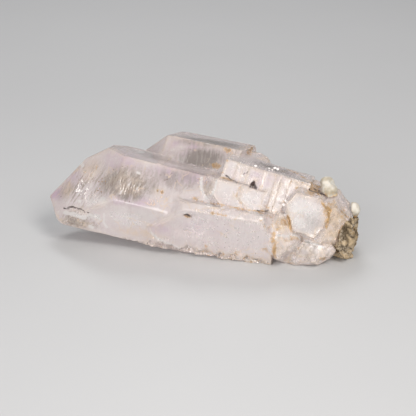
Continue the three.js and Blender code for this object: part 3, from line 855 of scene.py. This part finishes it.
def veil_material(settings):
    """Milky flakes and puffs in the quartz."""
    material, tree, place = new_material("veil_flakes")
    grain = use_group(tree, grain_group(), {"Place": place, "Scale": 3.0})
    colour = blend(tree, grain["Fleck"], settings.veil_colour, settings.fleck_colour)
    close_material(tree, {
        "Base Color": colour, "Roughness": 0.35, "Normal": bump(tree, grain["Height"], 0.02 * MM)})
    return material


def iron_material(iron):
    """Earthy crumbs of iron oxide, gold to near black."""
    material, tree, place = new_material("iron_oxide")
    stain = iron_stain(tree, place, iron, 1.25, 1.3)
    grain = use_group(tree, grain_group(), {"Place": place, "Scale": 9.0})
    colour = lay(tree, stain["Colour"], iron.brown_colour, grain["Fleck"], 0.6)
    close_material(tree, {
        "Base Color": colour, "Roughness": 0.8, "Normal": bump(tree, grain["Height"], 0.04 * MM)})
    return material


def rock_material(rock, iron):
    """Tan crust with olive patches, painted shade in its hollows, grooves and creases, pale quartz
    sugar and iron stain.
    """
    material, tree, place = new_material("crust_rock")
    grain = use_group(tree, grain_group(), {"Place": place, "Scale": 4.0, "Cell Relief": 0.7})
    patches = cloud(tree, place, "rock patches")
    # Painted shade: darker in the hollows, grooves and creases, and olive in random patches
    dark = calc(tree, "ADD", painted(tree, "hollow"),
                calc(tree, "MULTIPLY_ADD", patches, 1.2, -0.55), clamp=True)
    colour = blend(tree, dark, rock.tan_colour, rock.olive_colour)
    sugar = calc(tree, "MULTIPLY", grain["Fleck"], span(tree, patches, "sugar"))
    colour = lay(tree, colour, rock.sugar_colour, sugar, 0.55)
    stain = iron_stain(tree, place, iron, 0.25, 0.9)
    colour = lay(tree, colour, stain["Colour"], stain["Mask"], 0.7)
    rough = calc(tree, "MULTIPLY_ADD", sugar, -0.25, 0.88)
    close_material(tree, {
        "Base Color": colour, "Roughness": rough, "Normal": bump(tree, grain["Height"], 0.12 * MM)})
    return material


def white_material(rock, iron):
    """Satin white mineral, cream in its hollows and stained at its foot."""
    material, tree, place = new_material("white_mineral")
    grain = use_group(tree, grain_group(), {"Place": place, "Scale": 3.2})
    hollow = span(tree, cloud(tree, place, "white drift"), "white hollow")
    colour = blend(tree, hollow, rock.white_colour, rock.hollow_colour)
    stain = iron_stain(tree, place, iron, painted(tree, "foot"), 1.2)
    colour = lay(tree, colour, stain["Colour"], stain["Mask"], 0.8)
    close_material(tree, {
        "Base Color": colour, "Roughness": calc(tree, "MULTIPLY_ADD", grain["Fleck"], 0.2, 0.34),
        "Normal": bump(tree, grain["Height"], 0.05 * MM, 0.8),
        "Subsurface Weight": 0.25, "Subsurface Radius": (1.2, 1.0, 0.8),
        "Subsurface Scale": 0.4 * MM})
    return material


def floor_material(stage):
    """Plain pale floor with a faint drift of tone."""
    material, tree, place = new_material("pale_floor")
    paler = [min(1.0, channel * FLOOR_DRIFT) for channel in stage.floor_colour]
    colour = blend(tree, cloud(tree, place, "floor drift"), stage.floor_colour, paler)
    close_material(tree, {"Base Color": colour, "Roughness": 0.55})
    return material


# Meshes


def from_triangles(points, triangles):
    """Bmesh of those points and triangles, with its indices and normals up to date."""
    mesh = bpy.data.meshes.new("triangles")
    mesh.from_pydata(points, [], triangles)
    bm = bmesh.new()
    bm.from_mesh(mesh)
    bpy.data.meshes.remove(mesh)
    bm.verts.ensure_lookup_table()
    bm.normal_update()
    return bm


def merged_copy(node):
    """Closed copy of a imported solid, with its loose triangles joined."""
    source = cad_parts[node].data
    bm = from_triangles([v.co for v in source.vertices], [tuple(p.vertices) for p in source.polygons])
    bmesh.ops.remove_doubles(bm, verts=bm.verts, dist=WELD)
    if not all(e.is_manifold for e in bm.edges):
        raise RuntimeError(f"{node}: the joined copy isn't closed")
    return bm


def halved(points, triangles, step):
    """Triangles with each edge longer than step cut in half, so that a closed mesh stays closed."""
    halves = {}

    def half(a, b):
        key = (min(a, b), max(a, b))
        if key not in halves:
            if (points[a] - points[b]).length <= step:
                halves[key] = None
            else:
                halves[key] = len(points)
                points.append((points[a] + points[b]) / 2)
        return halves[key]

    made = []
    for corners in triangles:
        middles = [half(corners[i], corners[(i + 1) % 3]) for i in range(3)]
        cuts = sum(m is not None for m in middles)
        if cuts == 0:
            made.append(corners)
            continue
        first = next(i for i in range(3)
                     if middles[i] is not None and (cuts != 2 or middles[i - 1] is None))
        a, b, c = (corners[(first + i) % 3] for i in range(3))
        ab, bc, ca = (middles[(first + i) % 3] for i in range(3))
        if cuts == 1:
            made += [(a, ab, c), (ab, b, c)]
        elif cuts == 3:
            made += [(a, ab, ca), (ab, b, bc), (ca, bc, c), (ab, bc, ca)]
        elif (points[a] - points[bc]).length < (points[ab] - points[c]).length:
            made += [(ab, b, bc), (a, ab, bc), (a, bc, c)]
        else:
            made += [(ab, b, bc), (a, ab, c), (ab, bc, c)]
    return made


def refined(bm, step):
    """Bmesh with no edge much longer than step, and with even triangles on its flat faces."""
    for turn in range(SPLIT_ROUNDS):
        bm.verts.index_update()
        points = [v.co.copy() for v in bm.verts]
        triangles = halved(points, [tuple(v.index for v in f.verts) for f in bm.faces], step)
        bm.free()
        bm = from_triangles(points, triangles)
        if turn < SPLIT_ROUNDS - 1:
            within = [e for e in bm.edges if e.calc_face_angle() < FLAT_ANGLE]
            bmesh.ops.beautify_fill(bm, faces=bm.faces, edges=within)
    bm.verts.index_update()
    return bm


def creases(bm):
    """Vertices on outward and on inward sharp edges, as two sets of indices."""
    outward, inward = set(), set()
    for edge in bm.edges:
        turn = edge.calc_face_angle_signed()
        if abs(turn) > CREASE_ANGLE:
            (outward if turn > 0 else inward).update(v.index for v in edge.verts)
    return outward, inward


def spread(bm, chosen, reach):
    """Mask that is 1 on the chosen vertices and fades over that many rings of edges."""
    mask = np.zeros(len(bm.verts))
    mask[list(chosen)] = 1.0
    pairs = np.array([[v.index for v in e.verts] for e in bm.edges])
    for ring in range(reach):
        grown = mask.copy()
        fade = 1.0 - 1.0 / (reach + 1 - ring)
        np.maximum.at(grown, pairs[:, 0], mask[pairs[:, 1]] * fade)
        np.maximum.at(grown, pairs[:, 1], mask[pairs[:, 0]] * fade)
        mask = grown
    return mask


def rub_down(bm, chosen, amount, passes):
    """Draws the chosen vertices towards their neighbours, more in some places than in others."""
    for _ in range(passes):
        moved = {}
        for i in chosen:
            vert = bm.verts[i]
            around = [e.other_vert(vert).co for e in vert.link_edges]
            middle = sum(around, Vector()) / len(around)
            bruise = BRUISE_MEAN + BRUISE_SWING * noise.noise(vert.co / BRUISE_SIZE)
            moved[i] = vert.co.lerp(middle, amount * bruise)
        for i, place in moved.items():
            bm.verts[i].co = place


def ease(low, high, value):
    """Smooth step from 0 at low to 1 at high."""
    share = min(1.0, max(0.0, (value - low) / (high - low)))
    return share * share * (3.0 - 2.0 * share)


def ramp(low, high, values):
    """Straight step from 0 at low to 1 at high, for an array."""
    return np.clip((values - low) / (high - low), 0.0, 1.0)


def fractal(place, size, octaves):
    """Fractal noise about 0, for a place in metres and a feature size in metres."""
    return noise.fractal(place / size, FRACTAL_DROP, FRACTAL_STEP, octaves)


def scallop(place, size):
    """Shell-like hollows that meet in sharp ridges, about 0, for a place and a size in metres."""
    nearest = noise.voronoi(place / size)[0][0]
    return nearest * nearest - SCALLOP_MEAN


def zone_mask(points, zones):
    """Strongest pull of the zones at each point, fading to 0 at their reach."""
    mask = np.zeros(len(points))
    for centre, reach, strength in zones:
        away = np.linalg.norm((points / MM - np.array(centre)) / np.array(reach), axis=1)
        share = np.clip(ZONE_EDGE - away, 0.0, 1.0)
        mask = np.maximum(mask, strength * share * share * (3.0 - 2.0 * share))
    return mask


def paint(mesh, name, values):
    """Keeps a mask on the mesh's vertices."""
    layer = mesh.attributes.new(name, "FLOAT", "POINT")
    layer.data.foreach_set("value", np.asarray(values, np.float32))


def shade(mesh, angle):
    """Smooth shading that stays crisp at edges sharper than angle."""
    mesh.polygons.foreach_set("use_smooth", [True] * len(mesh.polygons))
    mesh.set_sharp_from_angle(angle=angle)


def add_object(name, mesh, material):
    """Object at the origin with that mesh and material, in the scene."""
    mesh.materials.clear()
    mesh.materials.append(material)
    made = bpy.data.objects.new(name, mesh)
    bpy.context.scene.collection.objects.link(made)
    return made


def finished_mesh(bm, name):
    """Mesh made from the bmesh, which is freed."""
    mesh = bpy.data.meshes.new(name)
    bm.to_mesh(mesh)
    bm.free()
    mesh.update()
    return mesh


def rows_of(vectors, key):
    """A mesh's vertices or vertex normals as an array."""
    flat = np.zeros(len(vectors) * 3)
    vectors.foreach_get(key, flat)
    return flat.reshape(-1, 3)


def keep_above_floor(verts):
    """Lifts what has sunk below the floor back onto it."""
    for vert in verts:
        vert.co.z = max(0.0, vert.co.z)


# Scattered grains


def scatter_tree():
    """Geometry node tree that scatters ragged grains over a surface, by a painted mask of it."""
    tree = bpy.data.node_groups.get("Scattered Grains")
    if tree:
        return tree
    tree = bpy.data.node_groups.new("Scattered Grains", "GeometryNodeTree")
    new_socket = tree.interface.new_socket
    new_socket("Geometry", in_out="OUTPUT", socket_type="NodeSocketGeometry")
    new_socket("Surface", in_out="INPUT", socket_type="NodeSocketGeometry")
    for title, kind in (("Mask", "NodeSocketString"), ("Spacing", "NodeSocketFloat"),
                        ("Grain Radius", "NodeSocketFloat"), ("Flatness", "NodeSocketFloat"),
                        ("Sink", "NodeSocketFloat"), ("Seed", "NodeSocketInt"),
                        ("Material", "NodeSocketMaterial")):
        new_socket(title, in_out="INPUT", socket_type=kind)
    given = tree.nodes.new("NodeGroupInput").outputs
    result = tree.nodes.new("NodeGroupOutput")

    def chance(low, high):
        inputs = {0: low, 1: high, "Seed": given["Seed"]}
        return put(tree, "FunctionNodeRandomValue", inputs, data_type="FLOAT_VECTOR").outputs[0]

    mask = put(tree, "GeometryNodeInputNamedAttribute", {"Name": given["Mask"]}, data_type="FLOAT")
    factor = next(s for s in mask.outputs if s.name == "Attribute" and s.enabled)
    scattered = put(tree, "GeometryNodeDistributePointsOnFaces", {
        "Mesh": given["Surface"], "Distance Min": given["Spacing"], "Density Max": GRAIN_DENSITY,
        "Density Factor": factor, "Seed": given["Seed"]}, distribute_method="POISSON").outputs
    grain = put(tree, "GeometryNodeMeshIcoSphere", {
        "Radius": given["Grain Radius"], "Subdivisions": GRAIN_CUTS}).outputs["Mesh"]
    squash = put(tree, "ShaderNodeCombineXYZ", {"X": 1.0, "Y": 1.0, "Z": given["Flatness"]}).outputs[0]
    flat = put(tree, "GeometryNodeTransform", {"Geometry": grain, "Scale": squash}).outputs["Geometry"]
    size = chance(*((share,) * 3 for share in GRAIN_SCALE))
    spin = chance([-angle for angle in GRAIN_TURN], GRAIN_TURN)
    turned = put(tree, "FunctionNodeRotateRotation", {
        "Rotation": scattered["Rotation"], "Rotate By": spin}, rotation_space="LOCAL")
    placed = put(tree, "GeometryNodeInstanceOnPoints", {
        "Points": scattered["Points"], "Instance": flat,
        "Rotation": turned.outputs["Rotation"], "Scale": size})
    drop = put(tree, "ShaderNodeCombineXYZ", {"Z": given["Sink"]}).outputs[0]
    sunk = put(tree, "GeometryNodeTranslateInstances", {
        "Instances": placed.outputs["Instances"], "Translation": drop, "Local Space": True})
    real = put(tree, "GeometryNodeRealizeInstances", {"Geometry": sunk.outputs["Instances"]})
    fray = put(tree, "ShaderNodeTexNoise", {
        "Vector": put(tree, "GeometryNodeInputPosition").outputs[0],
        "Scale": GRAIN_FRAY, "Detail": GRAIN_FRAY_DETAIL}).outputs["Color"]
    centred = reckon(tree, "SUBTRACT", fray, MIDDLE)
    ragged = put(tree, "GeometryNodeSetPosition", {
        "Geometry": real.outputs["Geometry"],
        "Offset": reckon(tree, "SCALE", centred, scale=given["Grain Radius"])})
    coated = put(tree, "GeometryNodeSetMaterial", {
        "Geometry": ragged.outputs["Geometry"], "Material": given["Material"]})
    tree.links.new(coated.outputs["Geometry"], result.inputs["Geometry"])
    return tree


def scattered_piece(name, surface, material, values):
    """Piece of real grains scattered over a surface mesh, with those values for the tree's inputs."""
    piece = add_object(name, surface, material)
    modifier = piece.modifiers.new("scatter", "NODES")
    modifier.node_group = scatter_tree()
    values = {**values, "Material": material}
    for item in modifier.node_group.interface.items_tree:
        if item.in_out == "INPUT" and item.name in values:
            modifier[item.identifier] = values[item.name]
    bpy.context.view_layer.update()
    evaluated = piece.evaluated_get(bpy.context.evaluated_depsgraph_get())
    grains = bpy.data.meshes.new_from_object(evaluated)
    piece.modifiers.remove(modifier)
    piece.data = grains
    bpy.data.meshes.remove(surface)
    if not grains.polygons:
        raise RuntimeError(f"{name}: nothing was scattered")
    keep_above_floor(grains.vertices)
    grains.name = name
    return piece


def sheet_guide(sheets):
    """Rippled sheets in the crystals that carry flakes, puffs or specks, with a patchy mask."""
    bm = bmesh.new()
    for centre, half, turn in sheets:
        place = Matrix.Translation(Vector(centre) * MM)
        turned = Matrix.Identity(4)
        for angle, axis in zip(reversed(turn), "ZYX"):
            turned = turned @ Matrix.Rotation(math.radians(angle), 4, axis)
        grid = bmesh.ops.create_grid(bm, x_segments=SHEET_CELLS, y_segments=SHEET_CELLS, size=MM)
        for vert in grid["verts"]:
            flat = Vector((vert.co.x * half[0], vert.co.y * half[1], 0.0))
            flat.z = RIPPLE_HEIGHT * noise.noise(flat / RIPPLE_SIZE + Vector(centre))
            vert.co = place @ turned @ flat
    mesh = finished_mesh(bm, "sheet_guide")
    paint(mesh, "patch", [ease(*PATCH_EDGE, fractal(v.co, PATCH_SIZE, 3)) for v in mesh.vertices])
    return mesh


def settle(piece, slot, *nodes):
    """Rides the finished piece on the cluster's body and hides the imported nodes it stands for; slot
    is not used.
    """
    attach(piece, BODY)
    if nodes:
        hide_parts(*nodes)


# The quartz's shape and masks


def lift_faces(bm, quartz):
    """Waves and growth ridges on the crystal faces, and chips on the broken base and at the foot."""
    for vert in bm.verts:
        place, way = vert.co, vert.normal
        broken = ease(*BREAK_START, place.x) * (1.0 - TOP_FADE * ease(*BREAK_TOP, place.z))
        broken *= 1.0 - FACET_FADE * ease(*FACET_MATCH, way.dot(WHITE_FACET))
        broken = max(broken, FOOT_SHARE * ease(*BREAK_FOOT, place.z))
        side = 1.0 - min(1.0, abs(way.dot(POINT_AXIS)) * RIDGE_FADE)
        ridge = fractal(Vector((place.dot(POINT_AXIS), 0.0, 0.0)), RIDGE_SIZE, 3)
        lift = quartz.face_wave * fractal(place, WAVE_SIZE, 2) + quartz.growth_step * side * ridge
        chips = sum(height * scallop(place, size) for height, size in CHIPS)
        crumble = CRUMBLE_HEIGHT * fractal(place, CRUMBLE_SIZE, 3)
        lift += quartz.break_height * broken * (chips + crumble - BREAK_SINK)
        vert.co = place + way * lift


def quartz_masks(mesh, worn, seam):
    """Masks to paint on the quartz, by name: the zones, and what place, edges and seams add to them."""
    points = rows_of(mesh.vertices, "co")
    x, y, z = (points / MM).T
    masks = {name: zone_mask(points, zones) for name, zones in QUARTZ_ZONES.items()}
    clear = np.maximum(ramp(*CLEAR_POINTS, x), ramp(*CLEAR_BACK, y) * ramp(*CLEAR_BACK_END, x))
    below = np.clip(-rows_of(mesh.vertex_normals, "vector")[:, 2] * BELOW_SLOPE, 0.0, 1.0)
    milk = MILK_FULL - MILK_CLEARED * clear + MILK_BELOW * (1.0 - clear) * below
    masks["milk"] = np.maximum(milk, masks["milk"])
    left, right, front, bottom = CLEAN_FRONT
    clean = (x > left) & (x < right) & (y > front) & (z > bottom)
    soiled = SEAM_SOIL * seam * ramp(*SEAM_REACH, x) * np.where(clean, CLEAN_SHARE, 1.0)
    masks["iron"] = np.maximum(masks["iron"], np.maximum(FOOT_SOIL * ramp(*FOOT_REACH, z), soiled))
    edges = worn * (EDGE_CREAM + EDGE_BASE_CREAM * ramp(*EDGE_REACH, x))
    masks["cream"] = np.maximum(edges, masks["cream"])
    # White on the worn edges: rubbed frost and a painted highlight
    masks["white"] = np.maximum(EDGE_WHITE_AND_HIGHLIGHT * edges, masks["white"])
    return masks


# Operators


class ClusterOperator:
    """What the cluster's operators have in common."""

    bl_options = {"REGISTER", "UNDO"}


class CLUSTER_OT_quartz(ClusterOperator, bpy.types.Operator):
    """Dress the joined crystals as clear and milky quartz"""

    bl_idname = "cluster.quartz"
    bl_label = "Quartz Crystals"

    def execute(self, context):
        quartz = context.scene.cluster_quartz
        bm = refined(merged_copy("crystals"), quartz.mesh_step)
        outward, inward = creases(bm)
        worn = spread(bm, outward, WORN_RINGS)
        seam = spread(bm, inward, SEAM_RINGS)
        rub_down(bm, outward | inward, quartz.edge_wear, EDGE_PASSES)
        grown = zone_mask(np.array([v.co for v in bm.verts]), GROWN_ZONES)
        rub_down(bm, np.flatnonzero(grown > GROWN_FROM).tolist(), GROWN_WEAR, GROWN_PASSES)
        bm.normal_update()
        lift_faces(bm, quartz)
        keep_above_floor(bm.verts)
        mesh = finished_mesh(bm, "crystals_quartz")
        shade(mesh, QUARTZ_CRISP)
        for name, mask in quartz_masks(mesh, worn * (1.0 - grown), seam).items():
            paint(mesh, name, mask)
        piece = add_object("crystals_quartz", mesh, quartz_material(quartz, context.scene.cluster_iron))
        settle(piece, "quartz", "crystals")
        return {"FINISHED"}


class CLUSTER_OT_inclusions(ClusterOperator, bpy.types.Operator):
    """Scatter milky veils and clouds and dark specks in the crystals"""

    bl_idname = "cluster.inclusions"
    bl_label = "Veils, Clouds and Specks"

    def execute(self, context):
        settings = context.scene.cluster_inclusions
        veil = veil_material(settings)
        dark = iron_material(context.scene.cluster_iron)
        for name, sheets, spacing, radius, flatness, material, slot in (
                ("crystal_veils", VEIL_SHEETS, settings.flake_spacing, settings.flake_size,
                 FLAKE_FLATNESS, veil, "quartz"),
                ("crystal_clouds", CLOUD_SHEETS, settings.cloud_spacing, settings.cloud_size,
                 PUFF_FLATNESS, veil, "quartz"),
                ("crystal_specks", SPECK_SHEETS, settings.speck_spacing, settings.speck_size,
                 SPECK_FLATNESS, dark, "rock")):
            piece = scattered_piece(name, sheet_guide(sheets), material, {
                "Mask": "patch", "Spacing": spacing, "Grain Radius": radius,
                "Flatness": flatness, "Seed": settings.seed})
            settle(piece, slot)
        return {"FINISHED"}


class CLUSTER_OT_iron(ClusterOperator, bpy.types.Operator):
    """Scatter crumbs of iron oxide in the pits, seams and stained patches of the quartz"""

    bl_idname = "cluster.iron"
    bl_label = "Iron Crumbs"

    def execute(self, context):
        iron = context.scene.cluster_iron
        quartz = bpy.data.objects.get("crystals_quartz")
        if quartz is None:
            raise RuntimeError("make the quartz crystals first")
        surface = quartz.data.copy()
        amount = np.zeros(len(surface.vertices), np.float32)
        surface.attributes["iron"].data.foreach_get("value", amount)
        ragged = np.array([
            ease(*CRUMB_PATCH_EDGE, fractal(v.co, CRUMB_PATCH_SIZE, 3)) for v in surface.vertices])
        paint(surface, "crumbs", np.clip((amount - CRUMB_FROM) * CRUMB_GAIN, 0.0, 1.0) * ragged)
        material = bpy.data.materials.get("iron_oxide") or iron_material(iron)
        crumbs = scattered_piece("iron_crumbs", surface, material, {
            "Mask": "crumbs", "Spacing": iron.crumb_spacing, "Grain Radius": iron.crumb_size,
            "Flatness": CRUMB_FLATNESS, "Sink": -CRUMB_SINK * iron.crumb_size, "Seed": iron.seed})
        settle(crumbs, "rock")
        return {"FINISHED"}


class CLUSTER_OT_crust(ClusterOperator, bpy.types.Operator):
    """Break up the rock crust and scatter loose grains on it"""

    bl_idname = "cluster.crust"
    bl_label = "Rock Crust"

    def execute(self, context):
        rock, iron = context.scene.cluster_rock, context.scene.cluster_iron
        bm = refined(merged_copy("matrix"), rock.mesh_step)
        outward, inward = creases(bm)
        rub_down(bm, outward | inward, CRUST_WEAR, CRUST_PASSES)
        bm.normal_update()
        depth = []
        for vert in bm.verts:
            place = vert.co
            crag = fractal(place, CRAG_SIZE, CRAG_OCTAVES) + HOLLOW_HEIGHT * scallop(place, HOLLOW_SIZE)
            groove = abs(noise.noise(place / GROOVE_SIZE + GROOVE_SHIFT))
            groove = 1.0 - ease(0.0, GROOVE_WIDTH, groove)
            # Painted shade: the groove is painted darker than it is cut
            depth.append(crag - GROOVE_SHADE * groove)
            lift = crag - GROOVE_CUT * groove - CRUST_SINK
            vert.co = place + vert.normal * rock.crag_height * lift
        keep_above_floor(bm.verts)
        # Painted shade in the inward creases and in the deep hollows and grooves
        hollow = np.maximum(spread(bm, inward, HOLLOW_SHADE_RINGS), np.clip(-np.array(depth), 0.0, 1.0))
        mesh = finished_mesh(bm, "matrix_crust")
        shade(mesh, CRUST_CRISP)
        paint(mesh, "hollow", hollow)
        material = rock_material(rock, iron)
        grain_bed = mesh.copy()
        settle(add_object("matrix_crust", mesh, material), "rock", "matrix")
        paint(grain_bed, "bed", np.clip(1.0 - hollow * BED_FADE, 0.0, 1.0))
        grains = scattered_piece("matrix_grains", grain_bed, material, {
            "Mask": "bed", "Spacing": rock.grain_spacing, "Grain Radius": rock.grain_size,
            "Flatness": GRAIN_FLATNESS, "Sink": -GRAIN_SINK * rock.grain_size, "Seed": rock.seed})
        settle(grains, "rock")
        return {"FINISHED"}


class CLUSTER_OT_white(ClusterOperator, bpy.types.Operator):
    """Smooth and stain the two white mineral grains"""

    bl_idname = "cluster.white"
    bl_label = "White Grains"

    def execute(self, context):
        material = white_material(context.scene.cluster_rock, context.scene.cluster_iron)
        for node in ("white_nub", "white_bead"):
            bm = refined(merged_copy(node), WHITE_STEP)
            rub_down(bm, range(len(bm.verts)), WHITE_WEAR, WHITE_PASSES)
            bm.normal_update()
            for vert in bm.verts:
                relief = fractal(vert.co, LUMP_SIZE, LUMP_OCTAVES)
                relief += DENT_HEIGHT * scallop(vert.co, DENT_SIZE)
                vert.co = vert.co + vert.normal * WHITE_HEIGHT * (relief + WHITE_RISE)
            mesh = finished_mesh(bm, node + "_mineral")
            shade(mesh, WHITE_CRISP)
            z = rows_of(mesh.vertices, "co")[:, 2]
            height = (z - z.min()) / (z.max() - z.min())
            paint(mesh, "foot", np.clip(FOOT_STAIN - height * FOOT_SLOPE, 0.0, 1.0))
            settle(add_object(node + "_mineral", mesh, material), "white_mineral", node)
        return {"FINISHED"}


class CLUSTER_OT_stage(ClusterOperator, bpy.types.Operator):
    """Lay the pale floor, hang the soft lights and set the camera"""

    bl_idname = "cluster.stage"
    bl_label = "Floor, Lights and Camera"

    def execute(self, context):
        stage = context.scene.cluster_stage
        bm = bmesh.new()
        bmesh.ops.create_grid(bm, x_segments=FLOOR_CELLS, y_segments=FLOOR_CELLS, size=FLOOR_HALF)
        floor = add_object("floor", finished_mesh(bm, "floor"), floor_material(stage))

        world = bpy.data.worlds.new("studio")
        world.use_nodes = True
        sky = world.node_tree.nodes["Background"]
        sky.inputs["Color"].default_value = (*SKY_COLOUR, 1.0)
        sky.inputs["Strength"].default_value = SKY_STRENGTH
        context.scene.world = world

        target = Vector(stage.target)
        for name, place, size, power, colour in LIGHTS:
            lamp = bpy.data.lights.new(name, "AREA")
            lamp.size = size * MM
            lamp.energy = power
            lamp.color = colour
            hung = bpy.data.objects.new(name, lamp)
            hung.location = target + Vector(place) * MM
            hung.rotation_euler = (target - hung.location).to_track_quat("-Z", "Y").to_euler()
            context.scene.collection.objects.link(hung)

        lens = bpy.data.cameras.new("photo_camera")
        lens.sensor_width = SENSOR_WIDTH
        lens.lens = lens.sensor_width * stage.distance / stage.view_width
        lens.clip_start = 1.0 * MM
        camera = bpy.data.objects.new("photo_camera", lens)
        level = math.cos(stage.elevation)
        back = Vector((math.sin(stage.azimuth) * level, -math.cos(stage.azimuth) * level,
                       math.sin(stage.elevation)))
        camera.location = target + back * stage.distance
        camera.rotation_euler = (-back).to_track_quat("-Z", "Y").to_euler()
        context.scene.collection.objects.link(camera)
        context.scene.camera = camera
        context.scene.view_settings.view_transform = "Standard"
        return {"FINISHED"}


class CLUSTER_PT_panel(bpy.types.Panel):
    """Lists the cluster's operators and settings"""

    bl_idname = "CLUSTER_PT_panel"
    bl_label = "Amethyst Cluster"
    bl_space_type = "VIEW_3D"
    bl_region_type = "UI"
    bl_category = "Amethyst"

    def draw(self, context):
        for operator in OPERATORS:
            self.layout.operator(operator.bl_idname)
        for name in SETTINGS:
            box = self.layout.box()
            settings = getattr(context.scene, name)
            for prop in settings.bl_rna.properties:
                if not prop.is_readonly and prop.identifier != "name":
                    box.prop(settings, prop.identifier)


OPERATORS = (
    CLUSTER_OT_quartz,
    CLUSTER_OT_inclusions,
    CLUSTER_OT_iron,
    CLUSTER_OT_crust,
    CLUSTER_OT_white,
    CLUSTER_OT_stage,
)
SETTINGS = {
    "cluster_quartz": QuartzSettings,
    "cluster_inclusions": InclusionSettings,
    "cluster_iron": IronSettings,
    "cluster_rock": RockSettings,
    "cluster_stage": StageSettings,
}


def register():
    """Adds the settings, the operators and the panel."""
    for name, group in SETTINGS.items():
        bpy.utils.register_class(group)
        setattr(bpy.types.Scene, name, PointerProperty(type=group))
    for made in (*OPERATORS, CLUSTER_PT_panel):
        bpy.utils.register_class(made)


def unregister():
    """Takes the panel, the operators and the settings away again."""
    for made in (CLUSTER_PT_panel, *reversed(OPERATORS)):
        bpy.utils.unregister_class(made)
    for name, group in SETTINGS.items():
        delattr(bpy.types.Scene, name)
        bpy.utils.unregister_class(group)


def main():
    """Builds the dressed cluster on its stage."""
    register()
    bpy.ops.cluster.quartz()
    bpy.ops.cluster.inclusions()
    bpy.ops.cluster.iron()
    bpy.ops.cluster.crust()
    bpy.ops.cluster.white()
    bpy.ops.cluster.stage()


if __name__ == "__main__":
    main()
